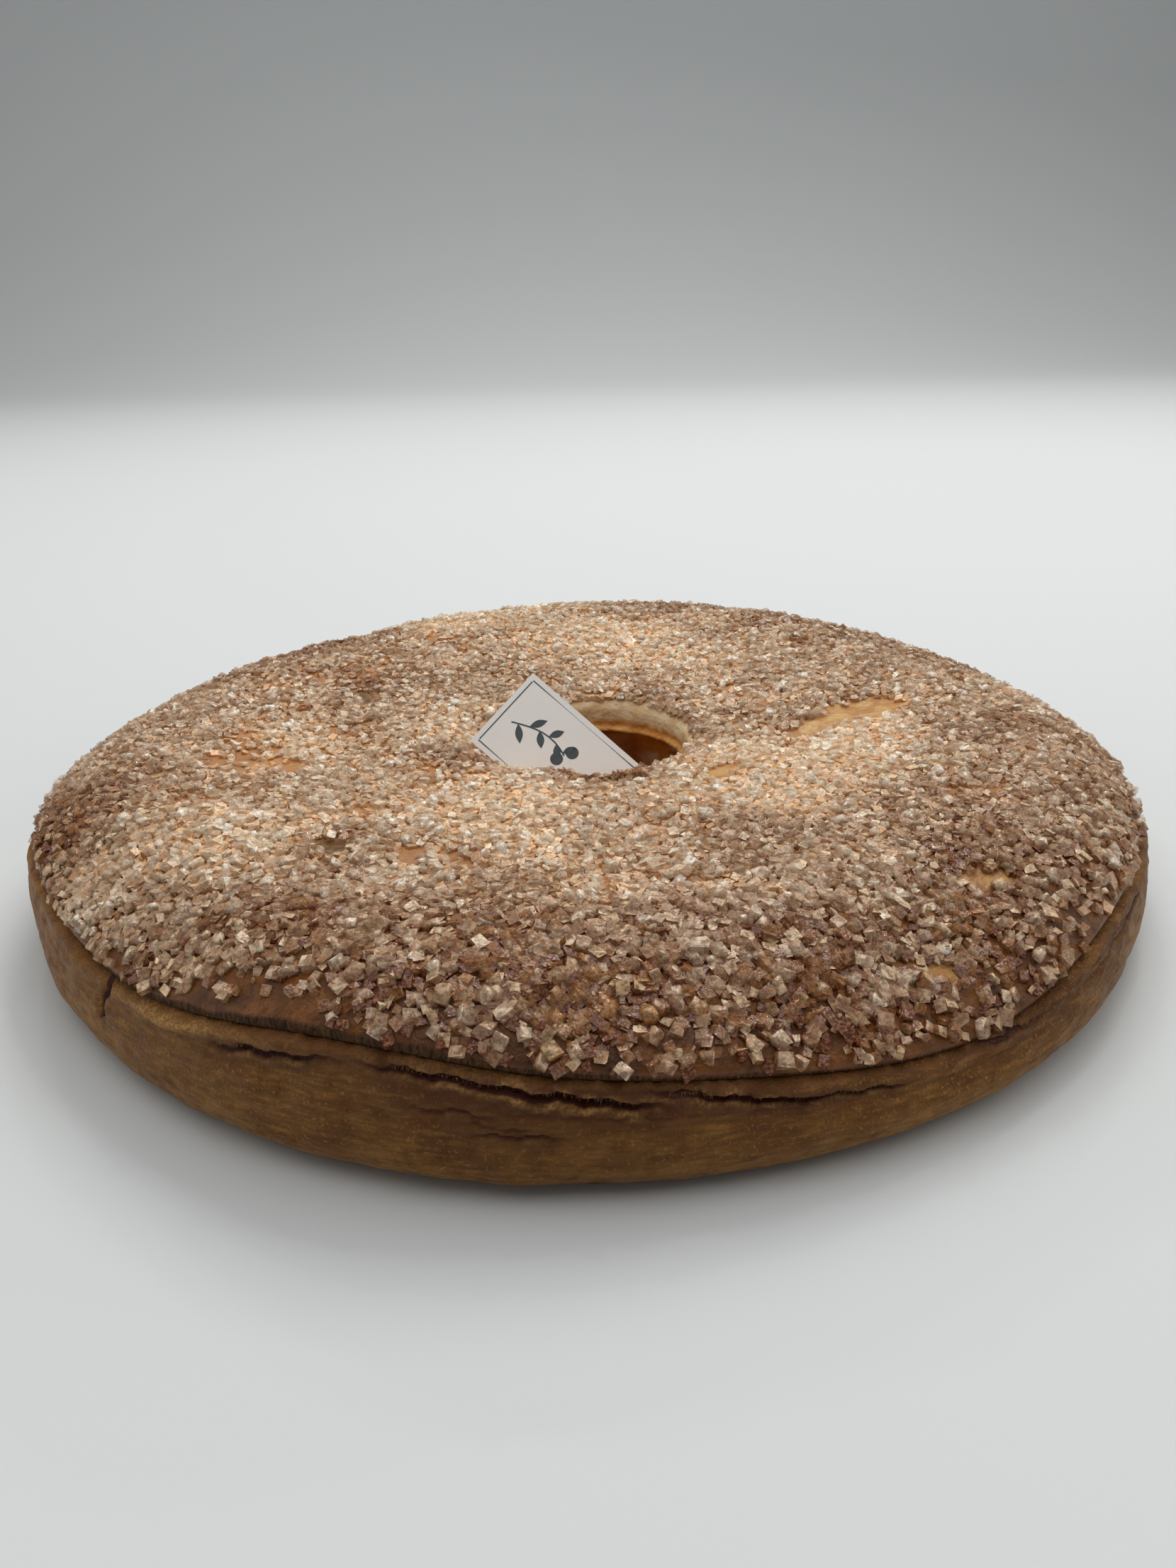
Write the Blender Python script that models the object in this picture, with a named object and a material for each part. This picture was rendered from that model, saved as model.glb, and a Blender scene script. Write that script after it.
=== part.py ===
"""A covered apricot tart: a baked base, a fruit filling, a sugared lid with a round hole, and a paper tag.

Metres, +Z up. The origin is the centre of the flat underside. -Y is the front.
Each dough piece is a turned profile. One warp, shared by all of them, then makes the tart uneven, so the
gaps between the pieces stay even.
"""

import math
import random

import bmesh
import bpy
from mathutils import Matrix, Vector
from mathutils.bvhtree import BVHTree

MM = 0.001

# Driving sizes, in millimetres
OUTER_RADIUS = 119.1
BOTTOM_RADIUS = 109.2
BULGE_HEIGHT = 10.6
SEAM_HEIGHT = 20.6
SEAM_RADIUS = 116.0
CROWN_HEIGHT = 31.9
HOLE_RADIUS = 20.0
HOLE_CENTRE_X = 2.5
BASE_FLOOR = 5.0
BASE_WALL = 9.5
PIECE_GAP = 0.45
DIP_FLOOR = 8.0
ROUND_STEPS = 80
FILLING_STEPS = 40

# The tag, a small printed card that leans in the hole
TAG_WIDTH = 20.8
TAG_LENGTH = 34.4
TAG_THICKNESS = 0.6
TAG_LEAN = math.radians(34.0)
TAG_TURN = math.radians(43.0)
TAG_CORNER = Vector((-26.0, -4.9, 29.0))
TAG_CLEARANCE = 0.5

# The coarsest sugar crystals, fused to the lid
CRYSTAL_COUNT = 120
CRYSTAL_SIZE = (2.3, 3.2)
CRYSTAL_INNER = 36.0
CRYSTAL_OUTER = 110.0
GRAIN_RELIEF = 0.35
SEED = 7

# Where the seam rises and falls: (angle in degrees, width in degrees, lift)
SEAM_WAVES = (
    (-108, 14, 4.4),
    (-60, 17, -5.6),
    (-38, 8, 1.2),
    (-130, 9, -1.0),
    (-165, 20, 2.4),
    (20, 30, -1.5),
    (75, 25, 1.5),
    (140, 30, -2.0),
)
# Swells and hollows of the lid: (x, y, radius, height)
LID_SWELLS = (
    (40, -31, 13, 1.7),
    (45, -9, 11, -1.9),
    (64, 8, 12, -1.5),
    (58, 32, 20, 1.2),
    (-4, -44, 22, 1.3),
    (3, -27, 6, -1.3),
    (-72, -48, 20, 1.5),
    (-57, -18, 17, -1.4),
    (-48, 34, 22, 0.9),
    (-52, 58, 16, -0.8),
    (5, 72, 22, 1.0),
    (30, 95, 16, -0.7),
    (70, -62, 17, -1.1),
    (88, -20, 16, 0.9),
    (30, -80, 20, 0.8),
    (-30, -88, 18, -0.8),
)
# Where the rim of the base has split open below the seam: (angle, width in degrees, depth)
RIM_SPLITS = (
    (-114, 6, 1.5),
    (-101, 5, 1.6),
    (-91, 6, 2.4),
    (-79, 6, 2.0),
    (-69, 5, 1.2),
    (-30, 7, 1.2),
    (35, 8, 1.5),
    (62, 10, 1.7),
    (96, 7, 1.1),
    (128, 7, 1.0),
    (152, 9, 1.5),
)
CRACK_ANGLE = math.radians(-134.5)


def smoothstep(low, high, value):
    """0 below low, 1 above high, and a smooth rise between them."""
    share = min(1.0, max(0.0, (value - low) / (high - low)))
    return share * share * (3.0 - 2.0 * share)


def around(angle, centre_degrees, width_degrees):
    """A bell in the angle round the tart, 1 at its centre."""
    off = (math.degrees(angle) - centre_degrees + 180.0) % 360.0 - 180.0
    return math.exp(-((off / width_degrees) ** 2))


def seam_lift(angle):
    """How far the seam stands above its mean height at an angle."""
    return sum(lift * around(angle, centre, width) for centre, width, lift in SEAM_WAVES)


def swell(x, y):
    """Height that the lid's swells and hollows add at a point."""
    return sum(
        height * math.exp(-((x - sx) ** 2 + (y - sy) ** 2) / radius**2) for sx, sy, radius, height in LID_SWELLS
    )


def warp(point):
    """Moves a point of the turned shapes to its place in the uneven tart."""
    x, y, z = point
    radius = math.hypot(x, y)
    angle = math.atan2(y, x)
    low = smoothstep(0.0, 6.0, z)
    out_of_round = 0.6 * math.cos(2.0 * angle + 0.6) + 0.5 * math.cos(3.0 * angle - 1.0)
    out_of_round += 0.35 * math.cos(7.0 * angle + 0.4)
    left_bulge = 0.6 * around(angle, -160.0, 7.0) * smoothstep(10.0, 16.0, z)
    push = (low * out_of_round + left_bulge) * smoothstep(60.0, 110.0, radius)
    push += 2.6 * around(angle, -158.0, 26.0) * smoothstep(38.0, 22.0, radius) * smoothstep(19.0, 21.2, z)
    stretch = (radius + push) / radius if radius > 1.0 else 1.0
    lift = seam_lift(angle) * smoothstep(78.0, 112.0, radius) * smoothstep(5.0, 19.0, z)
    shift = HOLE_CENTRE_X * smoothstep(100.0, 30.0, radius)
    return Vector((x * stretch + shift, y * stretch, z + lift))


def lid_top(point):
    """What the top of the lid has beyond the shared warp: swells, a raised rim and the slump under the tag."""
    x, y, z = point
    top = smoothstep(22.6, 26.5, z)
    from_hole = math.hypot(x - HOLE_CENTRE_X, y)
    angle = math.atan2(y, x - HOLE_CENTRE_X)
    near_rim = smoothstep(36.0, 21.0, from_hole)
    rim = (1.3 * around(angle, 90.0, 60.0) - 1.4 * around(angle, -100.0, 50.0)) * near_rim
    slump = 3.4 * around(angle, -165.0, 30.0) * smoothstep(35.0, 25.0, from_hole)
    fade = smoothstep(116.0, 100.0, math.hypot(x, y))
    return Vector((x, y, z + top * (swell(x, y) * fade + rim - slump)))


def material(name, colour, roughness):
    made = bpy.data.materials.new(name)
    made.use_nodes = True
    shader = made.node_tree.nodes["Principled BSDF"]
    shader.inputs["Base Color"].default_value = (*colour, 1.0)
    shader.inputs["Roughness"].default_value = roughness
    return made


def add_object(name, shape, finish, collection):
    """Puts a bmesh, in millimetres, into the scene as a named object in metres."""
    bmesh.ops.scale(shape, vec=(MM, MM, MM), verts=shape.verts)
    bmesh.ops.recalc_face_normals(shape, faces=shape.faces)
    mesh = bpy.data.meshes.new(name)
    shape.to_mesh(mesh)
    shape.free()
    mesh.materials.append(finish)
    mesh.shade_smooth()
    made = bpy.data.objects.new(name, mesh)
    collection.objects.link(made)
    return made


def turned(profile, steps, closed):
    """A profile of (radius, height) points spun about Z. A closed profile makes a ring."""
    shape = bmesh.new()
    points = [shape.verts.new((radius, 0.0, height)) for radius, height in profile]
    edges = [shape.edges.new(pair) for pair in zip(points, points[1:])]
    if closed:
        edges.append(shape.edges.new((points[-1], points[0])))
    bmesh.ops.spin(
        shape,
        geom=points + edges,
        cent=(0.0, 0.0, 0.0),
        axis=(0.0, 0.0, 1.0),
        angle=2.0 * math.pi,
        steps=steps,
        use_merge=True,
    )
    bmesh.ops.remove_doubles(shape, verts=shape.verts, dist=0.001)
    return shape


def make_base(finish, collection):
    """The baked shell: a flat underside, a wall that swells out, and a rim that has split open in places."""
    inner = OUTER_RADIUS - BASE_WALL
    profile = [
        (0.0, 0.0),
        (BOTTOM_RADIUS, 0.0),
        (113.4, 0.8),
        (116.3, 2.6),
        (118.2, 5.0),
        (119.0, 7.8),
        (OUTER_RADIUS, BULGE_HEIGHT),
        (118.8, 13.2),
        (118.2, 15.8),
        (117.9, 16.8),
        (117.6, 17.5),
        (117.8, 18.1),
        (117.9, 18.7),
        (117.2, 19.4),
        (115.9, 19.9),
        (113.2, 20.3),
        (inner, SEAM_HEIGHT),
        (inner - 0.9, 19.4),
        (inner - 2.0, 12.0),
        (inner - 5.0, 7.0),
        (inner - 10.0, BASE_FLOOR + PIECE_GAP),
        (0.0, BASE_FLOOR),
    ]
    split_height = 17.5
    shape = turned(profile, ROUND_STEPS, closed=False)
    for corner in shape.verts:
        x, y, z = corner.co
        radius = math.hypot(x, y)
        angle = math.atan2(y, x)
        if radius > BOTTOM_RADIUS + 1.0:
            open_here = sum(depth * around(angle, centre, width) for centre, width, depth in RIM_SPLITS)
            groove = math.exp(-(((z - split_height) / 0.45) ** 2)) * open_here
            dents = 0.3 * math.sin(5.0 * angle + 0.5 * z) * math.sin(11.0 * angle - 0.3 * z)
            wall = smoothstep(1.0, 6.0, z) * smoothstep(inner + 4.0, inner + 7.0, radius)
            scale = 1.0 + (dents * wall - groove) / radius
            corner.co = Vector((x * scale, y * scale, z))
        corner.co = warp(corner.co)
    made = add_object("base_crust", shape, finish, collection)
    cut_crack(made)
    return made


def cut_crack(base):
    """The one upright crack in the rim, where the wall has torn open towards the seam."""
    bpy.ops.mesh.primitive_cube_add(size=1.0)
    cutter = bpy.context.object
    cutter.name = "crack_cutter"
    cutter.data.transform(Matrix.Diagonal((5.0 * MM, 1.5 * MM, 16.0 * MM, 1.0)))
    place = Vector((math.cos(CRACK_ANGLE), math.sin(CRACK_ANGLE), 0.0)) * (OUTER_RADIUS + 0.6) * MM
    place.z = 20.5 * MM
    lean = Matrix.Rotation(math.radians(-22.0), 4, "X")
    cutter.data.transform(Matrix.Translation(place) @ Matrix.Rotation(CRACK_ANGLE, 4, "Z") @ lean)
    cut = base.modifiers.new("crack", "BOOLEAN")
    cut.operation = "DIFFERENCE"
    cut.solver = "EXACT"
    cut.object = cutter
    apply_modifiers(base)
    bpy.data.objects.remove(cutter)


def apply_modifiers(made):
    """Gives the object the mesh that its modifiers make."""
    bpy.context.view_layer.update()
    graph = bpy.context.evaluated_depsgraph_get()
    mesh = bpy.data.meshes.new_from_object(made.evaluated_get(graph))
    made.modifiers.clear()
    made.data = mesh


def make_filling(finish, collection):
    """The apricot filling: it fills the base, and dips under the hole in the lid."""
    inner = OUTER_RADIUS - BASE_WALL - PIECE_GAP
    floor = BASE_FLOOR + PIECE_GAP
    top = SEAM_HEIGHT - 0.25
    dip = HOLE_RADIUS + 5.5
    profile = [
        (0.0, floor),
        (inner - 10.5, floor + PIECE_GAP),
        (inner - 5.3, 7.5),
        (inner - 2.2, 12.1),
        (inner - 1.2, 19.3),
        (inner - 1.6, top - 0.1),
        (98.0, top),
        (88.0, top),
        (75.0, top),
        (45.0, top),
        (dip + 3.0, top),
        (dip, top - 1.0),
        (dip - 1.5, 15.0),
        (dip - 3.5, 10.0),
        (dip - 7.5, DIP_FLOOR + 0.2),
        (0.0, DIP_FLOOR),
    ]
    shape = turned(profile, FILLING_STEPS, closed=False)
    for corner in shape.verts:
        corner.co = warp(corner.co)
    return add_object("apricot_filling", shape, finish, collection)


def make_lid(finish, collection):
    """The sheet of dough on top, from the rounded edge of the hole to the seam."""
    under = SEAM_HEIGHT + PIECE_GAP
    crown = CROWN_HEIGHT
    profile = [
        (HOLE_RADIUS + 0.8, under),
        (HOLE_RADIUS + 0.1, under + 1.8),
        (HOLE_RADIUS, crown - 7.4),
        (HOLE_RADIUS + 0.7, crown - 5.1),
        (HOLE_RADIUS + 2.2, crown - 3.8),
        (HOLE_RADIUS + 4.6, crown - 3.3),
        (29.0, crown - 3.1),
        (34.5, crown - 2.6),
        (41.0, crown - 2.1),
        (48.0, crown - 1.6),
        (55.0, crown - 1.2),
        (62.5, crown - 0.8),
        (70.0, crown - 0.4),
        (77.5, crown - 0.2),
        (84.5, crown),
        (91.0, crown - 0.1),
        (96.5, crown - 0.6),
        (101.5, crown - 1.7),
        (106.0, crown - 3.3),
        (110.0, crown - 5.3),
        (113.0, crown - 7.2),
        (115.2, crown - 9.2),
        (SEAM_RADIUS, SEAM_HEIGHT + 1.2),
        (SEAM_RADIUS - 0.7, SEAM_HEIGHT + 0.7),
        (SEAM_RADIUS - 4.0, under + 0.1),
        (106.0, under),
        (98.0, under),
        (88.0, under),
        (75.0, under),
        (45.0, under),
    ]
    shape = turned(profile, ROUND_STEPS, closed=True)
    draw = random.Random(SEED)
    for corner in shape.verts:
        top = smoothstep(crown - 7.0, crown - 5.0, corner.co.z)
        grain = Vector((draw.uniform(-1.0, 1.0), draw.uniform(-1.0, 1.0), draw.uniform(-1.0, 1.0))) * GRAIN_RELIEF
        corner.co = lid_top(warp(corner.co)) + grain * top
    lid = add_object("lid_crust", shape, finish, collection)
    cut_tag_slot(lid)
    fuse_crystals(lid, finish)
    return lid


def tag_matrix():
    """The tag's frame: its long side runs down to the right, its short side up to the right, its face to the front."""
    across = Vector((1.0, 0.0, 0.0))
    up_slope = Vector((0.0, math.sin(TAG_LEAN), math.cos(TAG_LEAN)))
    long_side = across * math.cos(TAG_TURN) - up_slope * math.sin(TAG_TURN)
    short_side = across * math.sin(TAG_TURN) + up_slope * math.cos(TAG_TURN)
    face = long_side.cross(short_side)
    centre = TAG_CORNER + long_side * (TAG_LENGTH / 2.0) + short_side * (TAG_WIDTH / 2.0)
    turn = Matrix((long_side, short_side, face)).transposed().to_4x4()
    return Matrix.Translation(centre * MM) @ turn


def add_card(name, grow):
    """A flat card in the tag's place, larger than the tag by grow on every side."""
    bpy.ops.mesh.primitive_cube_add(size=1.0)
    made = bpy.context.object
    made.name = name
    sides = [side + 2.0 * grow for side in (TAG_LENGTH, TAG_WIDTH, TAG_THICKNESS)]
    made.data.transform(Matrix.Diagonal((sides[0] * MM, sides[1] * MM, sides[2] * MM, 1.0)))
    made.data.transform(tag_matrix())
    return made


def cut_tag_slot(lid):
    """Where the tag's lower edge has pressed into the lid's soft rim."""
    cutter = add_card("tag_cutter", TAG_CLEARANCE)
    cut = lid.modifiers.new("tag_slot", "BOOLEAN")
    cut.operation = "DIFFERENCE"
    cut.solver = "EXACT"
    cut.object = cutter
    apply_modifiers(lid)
    bpy.data.objects.remove(cutter)


def make_tag(finish, collection):
    """The paper tag: a thin card with square corners."""
    made = add_card("paper_tag", 0.0)
    for owner in list(made.users_collection):
        owner.objects.unlink(made)
    collection.objects.link(made)
    made.data.materials.append(finish)
    return made


def fuse_crystals(lid, finish):
    """Sets the coarsest crystals on an even spiral over the lid, sunk a little, and joins them to it."""
    draw = random.Random(SEED + 1)
    surface = BVHTree.FromObject(lid, bpy.context.evaluated_depsgraph_get())
    crystals = bpy.data.collections.new("crystals")
    bpy.context.scene.collection.children.link(crystals)
    golden = math.pi * (3.0 - math.sqrt(5.0))
    for index in range(CRYSTAL_COUNT):
        share = (index + 0.5) / CRYSTAL_COUNT
        radius = math.sqrt(CRYSTAL_INNER**2 + share * (CRYSTAL_OUTER**2 - CRYSTAL_INNER**2))
        angle = index * golden + draw.uniform(-0.03, 0.03)
        start = Vector((radius * math.cos(angle) * MM, radius * math.sin(angle) * MM, 0.06))
        place, normal, _, _ = surface.ray_cast(start, Vector((0.0, 0.0, -1.0)))
        size = draw.uniform(*CRYSTAL_SIZE)
        sides = (size, size * draw.uniform(0.75, 0.95), size * draw.uniform(0.65, 0.9))
        spin = Matrix.Rotation(draw.uniform(0.0, math.pi), 4, "Z")
        tip = Matrix.Rotation(draw.uniform(-0.5, 0.5), 4, "X") @ Matrix.Rotation(draw.uniform(-0.5, 0.5), 4, "Y")
        grain = bmesh.new()
        bmesh.ops.create_cube(grain, size=1.0)
        bmesh.ops.scale(grain, vec=sides, verts=grain.verts)
        onto = Matrix.Translation((place + normal * (0.28 * sides[2] * MM)) / MM)
        grain.transform(onto @ spin @ tip)
        add_object(f"crystal_{index:03d}", grain, finish, crystals)
    join = lid.modifiers.new("crystals", "BOOLEAN")
    join.operation = "UNION"
    join.solver = "MANIFOLD"
    join.operand_type = "COLLECTION"
    join.collection = crystals
    apply_modifiers(lid)
    for grain in list(crystals.objects):
        bpy.data.objects.remove(grain)
    bpy.data.collections.remove(crystals)


def centre(collection):
    """Puts the origin at the middle of the footprint, on the flat underside."""
    corners = [corner.co for made in collection.objects for corner in made.data.vertices]
    shift = Vector([-(min(c[axis] for c in corners) + max(c[axis] for c in corners)) / 2.0 for axis in (0, 1)] + [0.0])
    for made in collection.objects:
        made.data.transform(Matrix.Translation(shift))


def main():
    for old in list(bpy.data.objects):
        bpy.data.objects.remove(old)
    collection = bpy.data.collections.new("apricot_tart")
    bpy.context.scene.collection.children.link(collection)
    crust = material("baked_dough", (0.42, 0.22, 0.08), 0.7)
    jam = material("apricot_jam", (0.45, 0.16, 0.02), 0.2)
    sugared = material("sugared_dough", (0.58, 0.36, 0.18), 0.45)
    paper = material("coated_paper", (0.80, 0.81, 0.82), 0.5)
    make_base(crust, collection)
    make_filling(jam, collection)
    make_lid(sugared, collection)
    make_tag(paper, collection)
    centre(collection)


main()
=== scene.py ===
# %% [markdown]
# # A sugared apricot tart, dressed for its portrait
#
# The solids of the tart are already built and measured: a base, a filling, a lid and a paper tag. This lesson gives
# them their looks. It loads the solids as a fixed frame, makes a finer skin for each from the same formulas, covers
# the lid with coarse sugar, and ends with the light and the camera. Lengths are in millimetres until a mesh is made.

# %% Load the frame
import math
import bmesh
import bpy
import numpy as np
from mathutils import Matrix, Vector


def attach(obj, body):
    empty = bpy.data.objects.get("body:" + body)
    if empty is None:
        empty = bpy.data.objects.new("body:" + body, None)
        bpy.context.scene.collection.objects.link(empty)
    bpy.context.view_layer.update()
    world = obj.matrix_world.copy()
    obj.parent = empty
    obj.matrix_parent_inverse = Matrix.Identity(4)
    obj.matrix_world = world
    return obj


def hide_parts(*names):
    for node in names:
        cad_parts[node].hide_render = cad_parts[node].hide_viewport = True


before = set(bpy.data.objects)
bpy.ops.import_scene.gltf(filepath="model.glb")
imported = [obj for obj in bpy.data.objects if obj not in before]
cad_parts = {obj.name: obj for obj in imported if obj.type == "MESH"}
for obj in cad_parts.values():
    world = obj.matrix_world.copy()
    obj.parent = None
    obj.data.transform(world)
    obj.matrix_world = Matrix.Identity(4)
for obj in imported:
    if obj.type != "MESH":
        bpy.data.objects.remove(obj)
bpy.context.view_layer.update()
MM = 0.001

# %% [markdown]
# ## Colours, nodes and coats
#
# A colour is easiest to pick as the hex value that a screen shows. Blender's shaders want linear light, so one
# function turns the first into the second. A second function adds a node, sets it up and links it, and every material
# below is written with it. Baked dough is coloured like painted wood, coat over coat: a coat has a colour, and it
# lies where some value is high, such as a noise or a number that the mesh keeps for its points.


# %% Colours and nodes
def linear(hex_colour):
    """A hex sRGB colour as linear RGBA: each channel c becomes c/12.92, or ((c + 0.055)/1.055) to the 2.4."""
    channels = [int(hex_colour[i : i + 2], 16) / 255.0 for i in (1, 3, 5)]
    return tuple(c / 12.92 if c <= 0.04045 else ((c + 0.055) / 1.055) ** 2.4 for c in channels) + (1.0,)


def add(tree, kind, inputs=None, output=0, **settings):
    """Adds a node and gives one of its outputs. Settings are the node's own properties; inputs maps a socket to
    another node's output, to a hex colour or to a plain value."""
    node = tree.nodes.new(kind)
    for name, value in settings.items():
        setattr(node, name, value)
    for socket, value in (inputs or {}).items():
        if isinstance(value, bpy.types.NodeSocket):
            tree.links.new(value, node.inputs[socket])
        else:
            node.inputs[socket].default_value = linear(value) if isinstance(value, str) else value
    return node.outputs[output]


# %% Start a material, lay its coats, paint it on
def start_material(name, **sockets):
    """A new material with its constant sockets set: gives it, its tree, its main shader and Object coordinates."""
    made = bpy.data.materials.new(name)
    made.use_nodes = True
    tree = made.node_tree
    shader = tree.nodes["Principled BSDF"]
    for socket, value in sockets.items():
        shader.inputs[socket.replace("_", " ")].default_value = value
    return made, tree, shader, add(tree, "ShaderNodeTexCoord", output="Object")


def coats(tree, colour, *layers):
    """Lays coats over a colour. Each is (value, coat), or (value, low, high, coat), which covers nothing at low and all
    at high, or (value, low, high, share at low, share at high, coat). A value given as a name is kept by the mesh."""
    for value, *stretch, coat in layers:
        if isinstance(value, str):
            value = add(tree, "ShaderNodeAttribute", output=2, attribute_name=value)
        if stretch:
            value = add(tree, "ShaderNodeMapRange", dict(enumerate((value, *stretch))))
        colour = add(tree, "ShaderNodeMix", {0: value, 6: colour, 7: coat}, 2, data_type="RGBA")
    return colour


def cloud(tree, place, size_mm, detail=3.0, roughness=0.55, stretch=(1.0, 1.0, 1.0)):
    """Cloudy noise on object coordinates, with features of about size_mm."""
    scaled = add(tree, "ShaderNodeMapping", {0: place, 3: tuple(s / (size_mm * MM) for s in stretch)})
    return add(tree, "ShaderNodeTexNoise", {"Vector": scaled, "Scale": 1.0, "Detail": detail, "Roughness": roughness})


def paint(tree, shader, colour, relief=None, **sockets):
    """Links the colour, the relief as (height, strength, depth in mm) and other outputs to the main shader."""
    sockets["Base Color"] = colour
    if relief:
        height, strength, depth = relief
        bumps = {"Strength": strength, "Distance": depth * MM, "Height": height}
        sockets["Normal"] = add(tree, "ShaderNodeBump", bumps)
    for socket, value in sockets.items():
        tree.links.new(value, shader.inputs[socket])


# %% [markdown]
# ## The shape of the tart in numbers
#
# The tart is a turned shape that baking made uneven. The same few formulas that shaped the solids shape the skins,
# so a skin lies on its solid. Here they take whole arrays of points at once. A bell is a bump round one angle, and a
# smooth step is a soft ramp between two values.

# %% Measures and waves of the tart
TURN_CENTRE = (-0.593, 0.284)  # where the axis of turning stands, so that the tart's box is centred
HOLE_SHIFT = 2.5  # how far the hole lies to the right of that axis
HOLE_RADIUS = 20.0
SEAM_HEIGHT = 20.6
CROWN = 31.9
# Waves of the outline as (size, count round the tart, phase), waves of the seam as (angle, width in degrees, lift),
# and swells and hollows of the lid as (x, y, reach, height)
OUTLINE_WAVES = ((0.6, 2, 0.6), (0.5, 3, -1.0), (0.35, 7, 0.4))
SEAM_WAVES = ((-108, 14, 4.4), (-60, 17, -5.6), (-38, 8, 1.2), (-130, 9, -1.0),
              (-165, 20, 2.4), (20, 30, -1.5), (75, 25, 1.5), (140, 30, -2.0))
LID_SWELLS = ((40, -31, 13, 1.7), (45, -9, 11, -1.9), (64, 8, 12, -1.5), (58, 32, 20, 1.2),
              (-4, -44, 22, 1.3), (3, -27, 6, -1.3), (-72, -48, 20, 1.5), (-57, -18, 17, -1.4),
              (-48, 34, 22, 0.9), (-52, 58, 16, -0.8), (5, 72, 22, 1.0), (30, 95, 16, -0.7),
              (70, -62, 17, -1.1), (88, -20, 16, 0.9), (30, -80, 20, 0.8), (-30, -88, 18, -0.8))


def smoothstep(low, high, value):
    """0 below low, 1 above high, and 3t^2 - 2t^3 between them."""
    share = np.clip((value - low) / (high - low), 0.0, 1.0)
    return share * share * (3.0 - 2.0 * share)


def degrees_from(angle, centre):
    """Degrees from the centre to an angle in radians, between -180 and 180."""
    return (np.degrees(angle) - centre + 180.0) % 360.0 - 180.0


def bell(angle, centre, width):
    """exp(-(off/width)^2) of the angle round the tart, centre and width in degrees."""
    return np.exp(-((degrees_from(angle, centre) / width) ** 2))


def warp(x, y, z):
    """Turned shape to uneven tart: the outline swings in and out, the seam's height waves, the hole shifts aside."""
    radius, angle = np.hypot(x, y), np.arctan2(y, x)
    out_of_round = sum(size * np.cos(count * angle + phase) for size, count, phase in OUTLINE_WAVES)
    push = smoothstep(0, 6, z) * out_of_round + 0.6 * bell(angle, -160, 7) * smoothstep(10, 16, z)
    push = push * smoothstep(60, 110, radius)
    push = push + 2.6 * bell(angle, -158, 26) * smoothstep(38, 22, radius) * smoothstep(19, 21.2, z)
    stretch = np.where(radius > 1.0, (radius + push) / np.maximum(radius, 1.0), 1.0)
    lift = sum(lift * bell(angle, centre, width) for centre, width, lift in SEAM_WAVES)
    lift = lift * smoothstep(78, 112, radius) * smoothstep(5, 19, z)
    return x * stretch + HOLE_SHIFT * smoothstep(100, 30, radius), y * stretch, z + lift


def placed(x, y, z):
    """Turned points, warped and moved to the centre of turning, as (x, y, z) triples."""
    x, y, z = warp(x, y, z)
    return np.stack([x + TURN_CENTRE[0], y + TURN_CENTRE[1], z], -1)


def lid_top(x, y, z):
    """Swells and hollows of the lid, its raised rim round the hole, and the slump under the tag."""
    from_hole, angle = np.hypot(x - HOLE_SHIFT, y), np.arctan2(y, x - HOLE_SHIFT)
    rim = (1.3 * bell(angle, 90, 60) - 1.4 * bell(angle, -100, 50)) * smoothstep(36, 21, from_hole)
    slump = 3.4 * bell(angle, -165, 30) * smoothstep(35, 25, from_hole)
    swells = sum(h * np.exp(-((x - sx) ** 2 + (y - sy) ** 2) / r**2) for sx, sy, r, h in LID_SWELLS)
    return z + smoothstep(22.6, 26.5, z) * (swells * smoothstep(116, 100, np.hypot(x, y)) + rim - slump)


# %% [markdown]
# ## Noise for dough
#
# Dough is lumpy at many sizes. Random numbers on a lattice, blended smoothly between its points, give one size of
# lump, and a few sizes are summed. The lattice repeats after 32 cells, which nobody can see on a tart.

# %% Lattice noise
LATTICE = 32


def lumps(x, y, z, cell, seed):
    """Random values at the corners of cubes of side cell, blended by 3t^2 - 2t^3 along each axis; from -1 to 1."""
    table = np.random.default_rng(seed).uniform(-1.0, 1.0, (LATTICE, LATTICE, LATTICE))
    parts = [np.floor(v / cell) for v in (x, y, z)]
    fade = [v / cell - p for v, p in zip((x, y, z), parts)]
    fade = [f * f * (3 - 2 * f) for f in fade]
    a, b, c = [p.astype(int) % LATTICE for p in parts]
    total = 0.0
    for dx in (0, 1):
        for dy in (0, 1):
            for dz in (0, 1):
                weight = abs(1 - dx - fade[0]) * abs(1 - dy - fade[1]) * abs(1 - dz - fade[2])
                total = total + weight * table[(a + dx) % LATTICE, (b + dy) % LATTICE, (c + dz) % LATTICE]
    return total


def lumps_of_sizes(x, y, z, *sizes):
    """Sum of lumps, each size as (height, cell, seed)."""
    return sum(height * lumps(x, y, z, cell, seed) for height, cell, seed in sizes)


# %% [markdown]
# ## Turned skins
#
# A skin is a profile of radius and height, carried round the axis on a grid: one row for each step along the
# profile, one column for each angle. The profile is a smooth curve through a few named points. A closed profile makes
# a ring, like the lid; an open one starts and ends on the axis, and its two ends close as fans.


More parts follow.
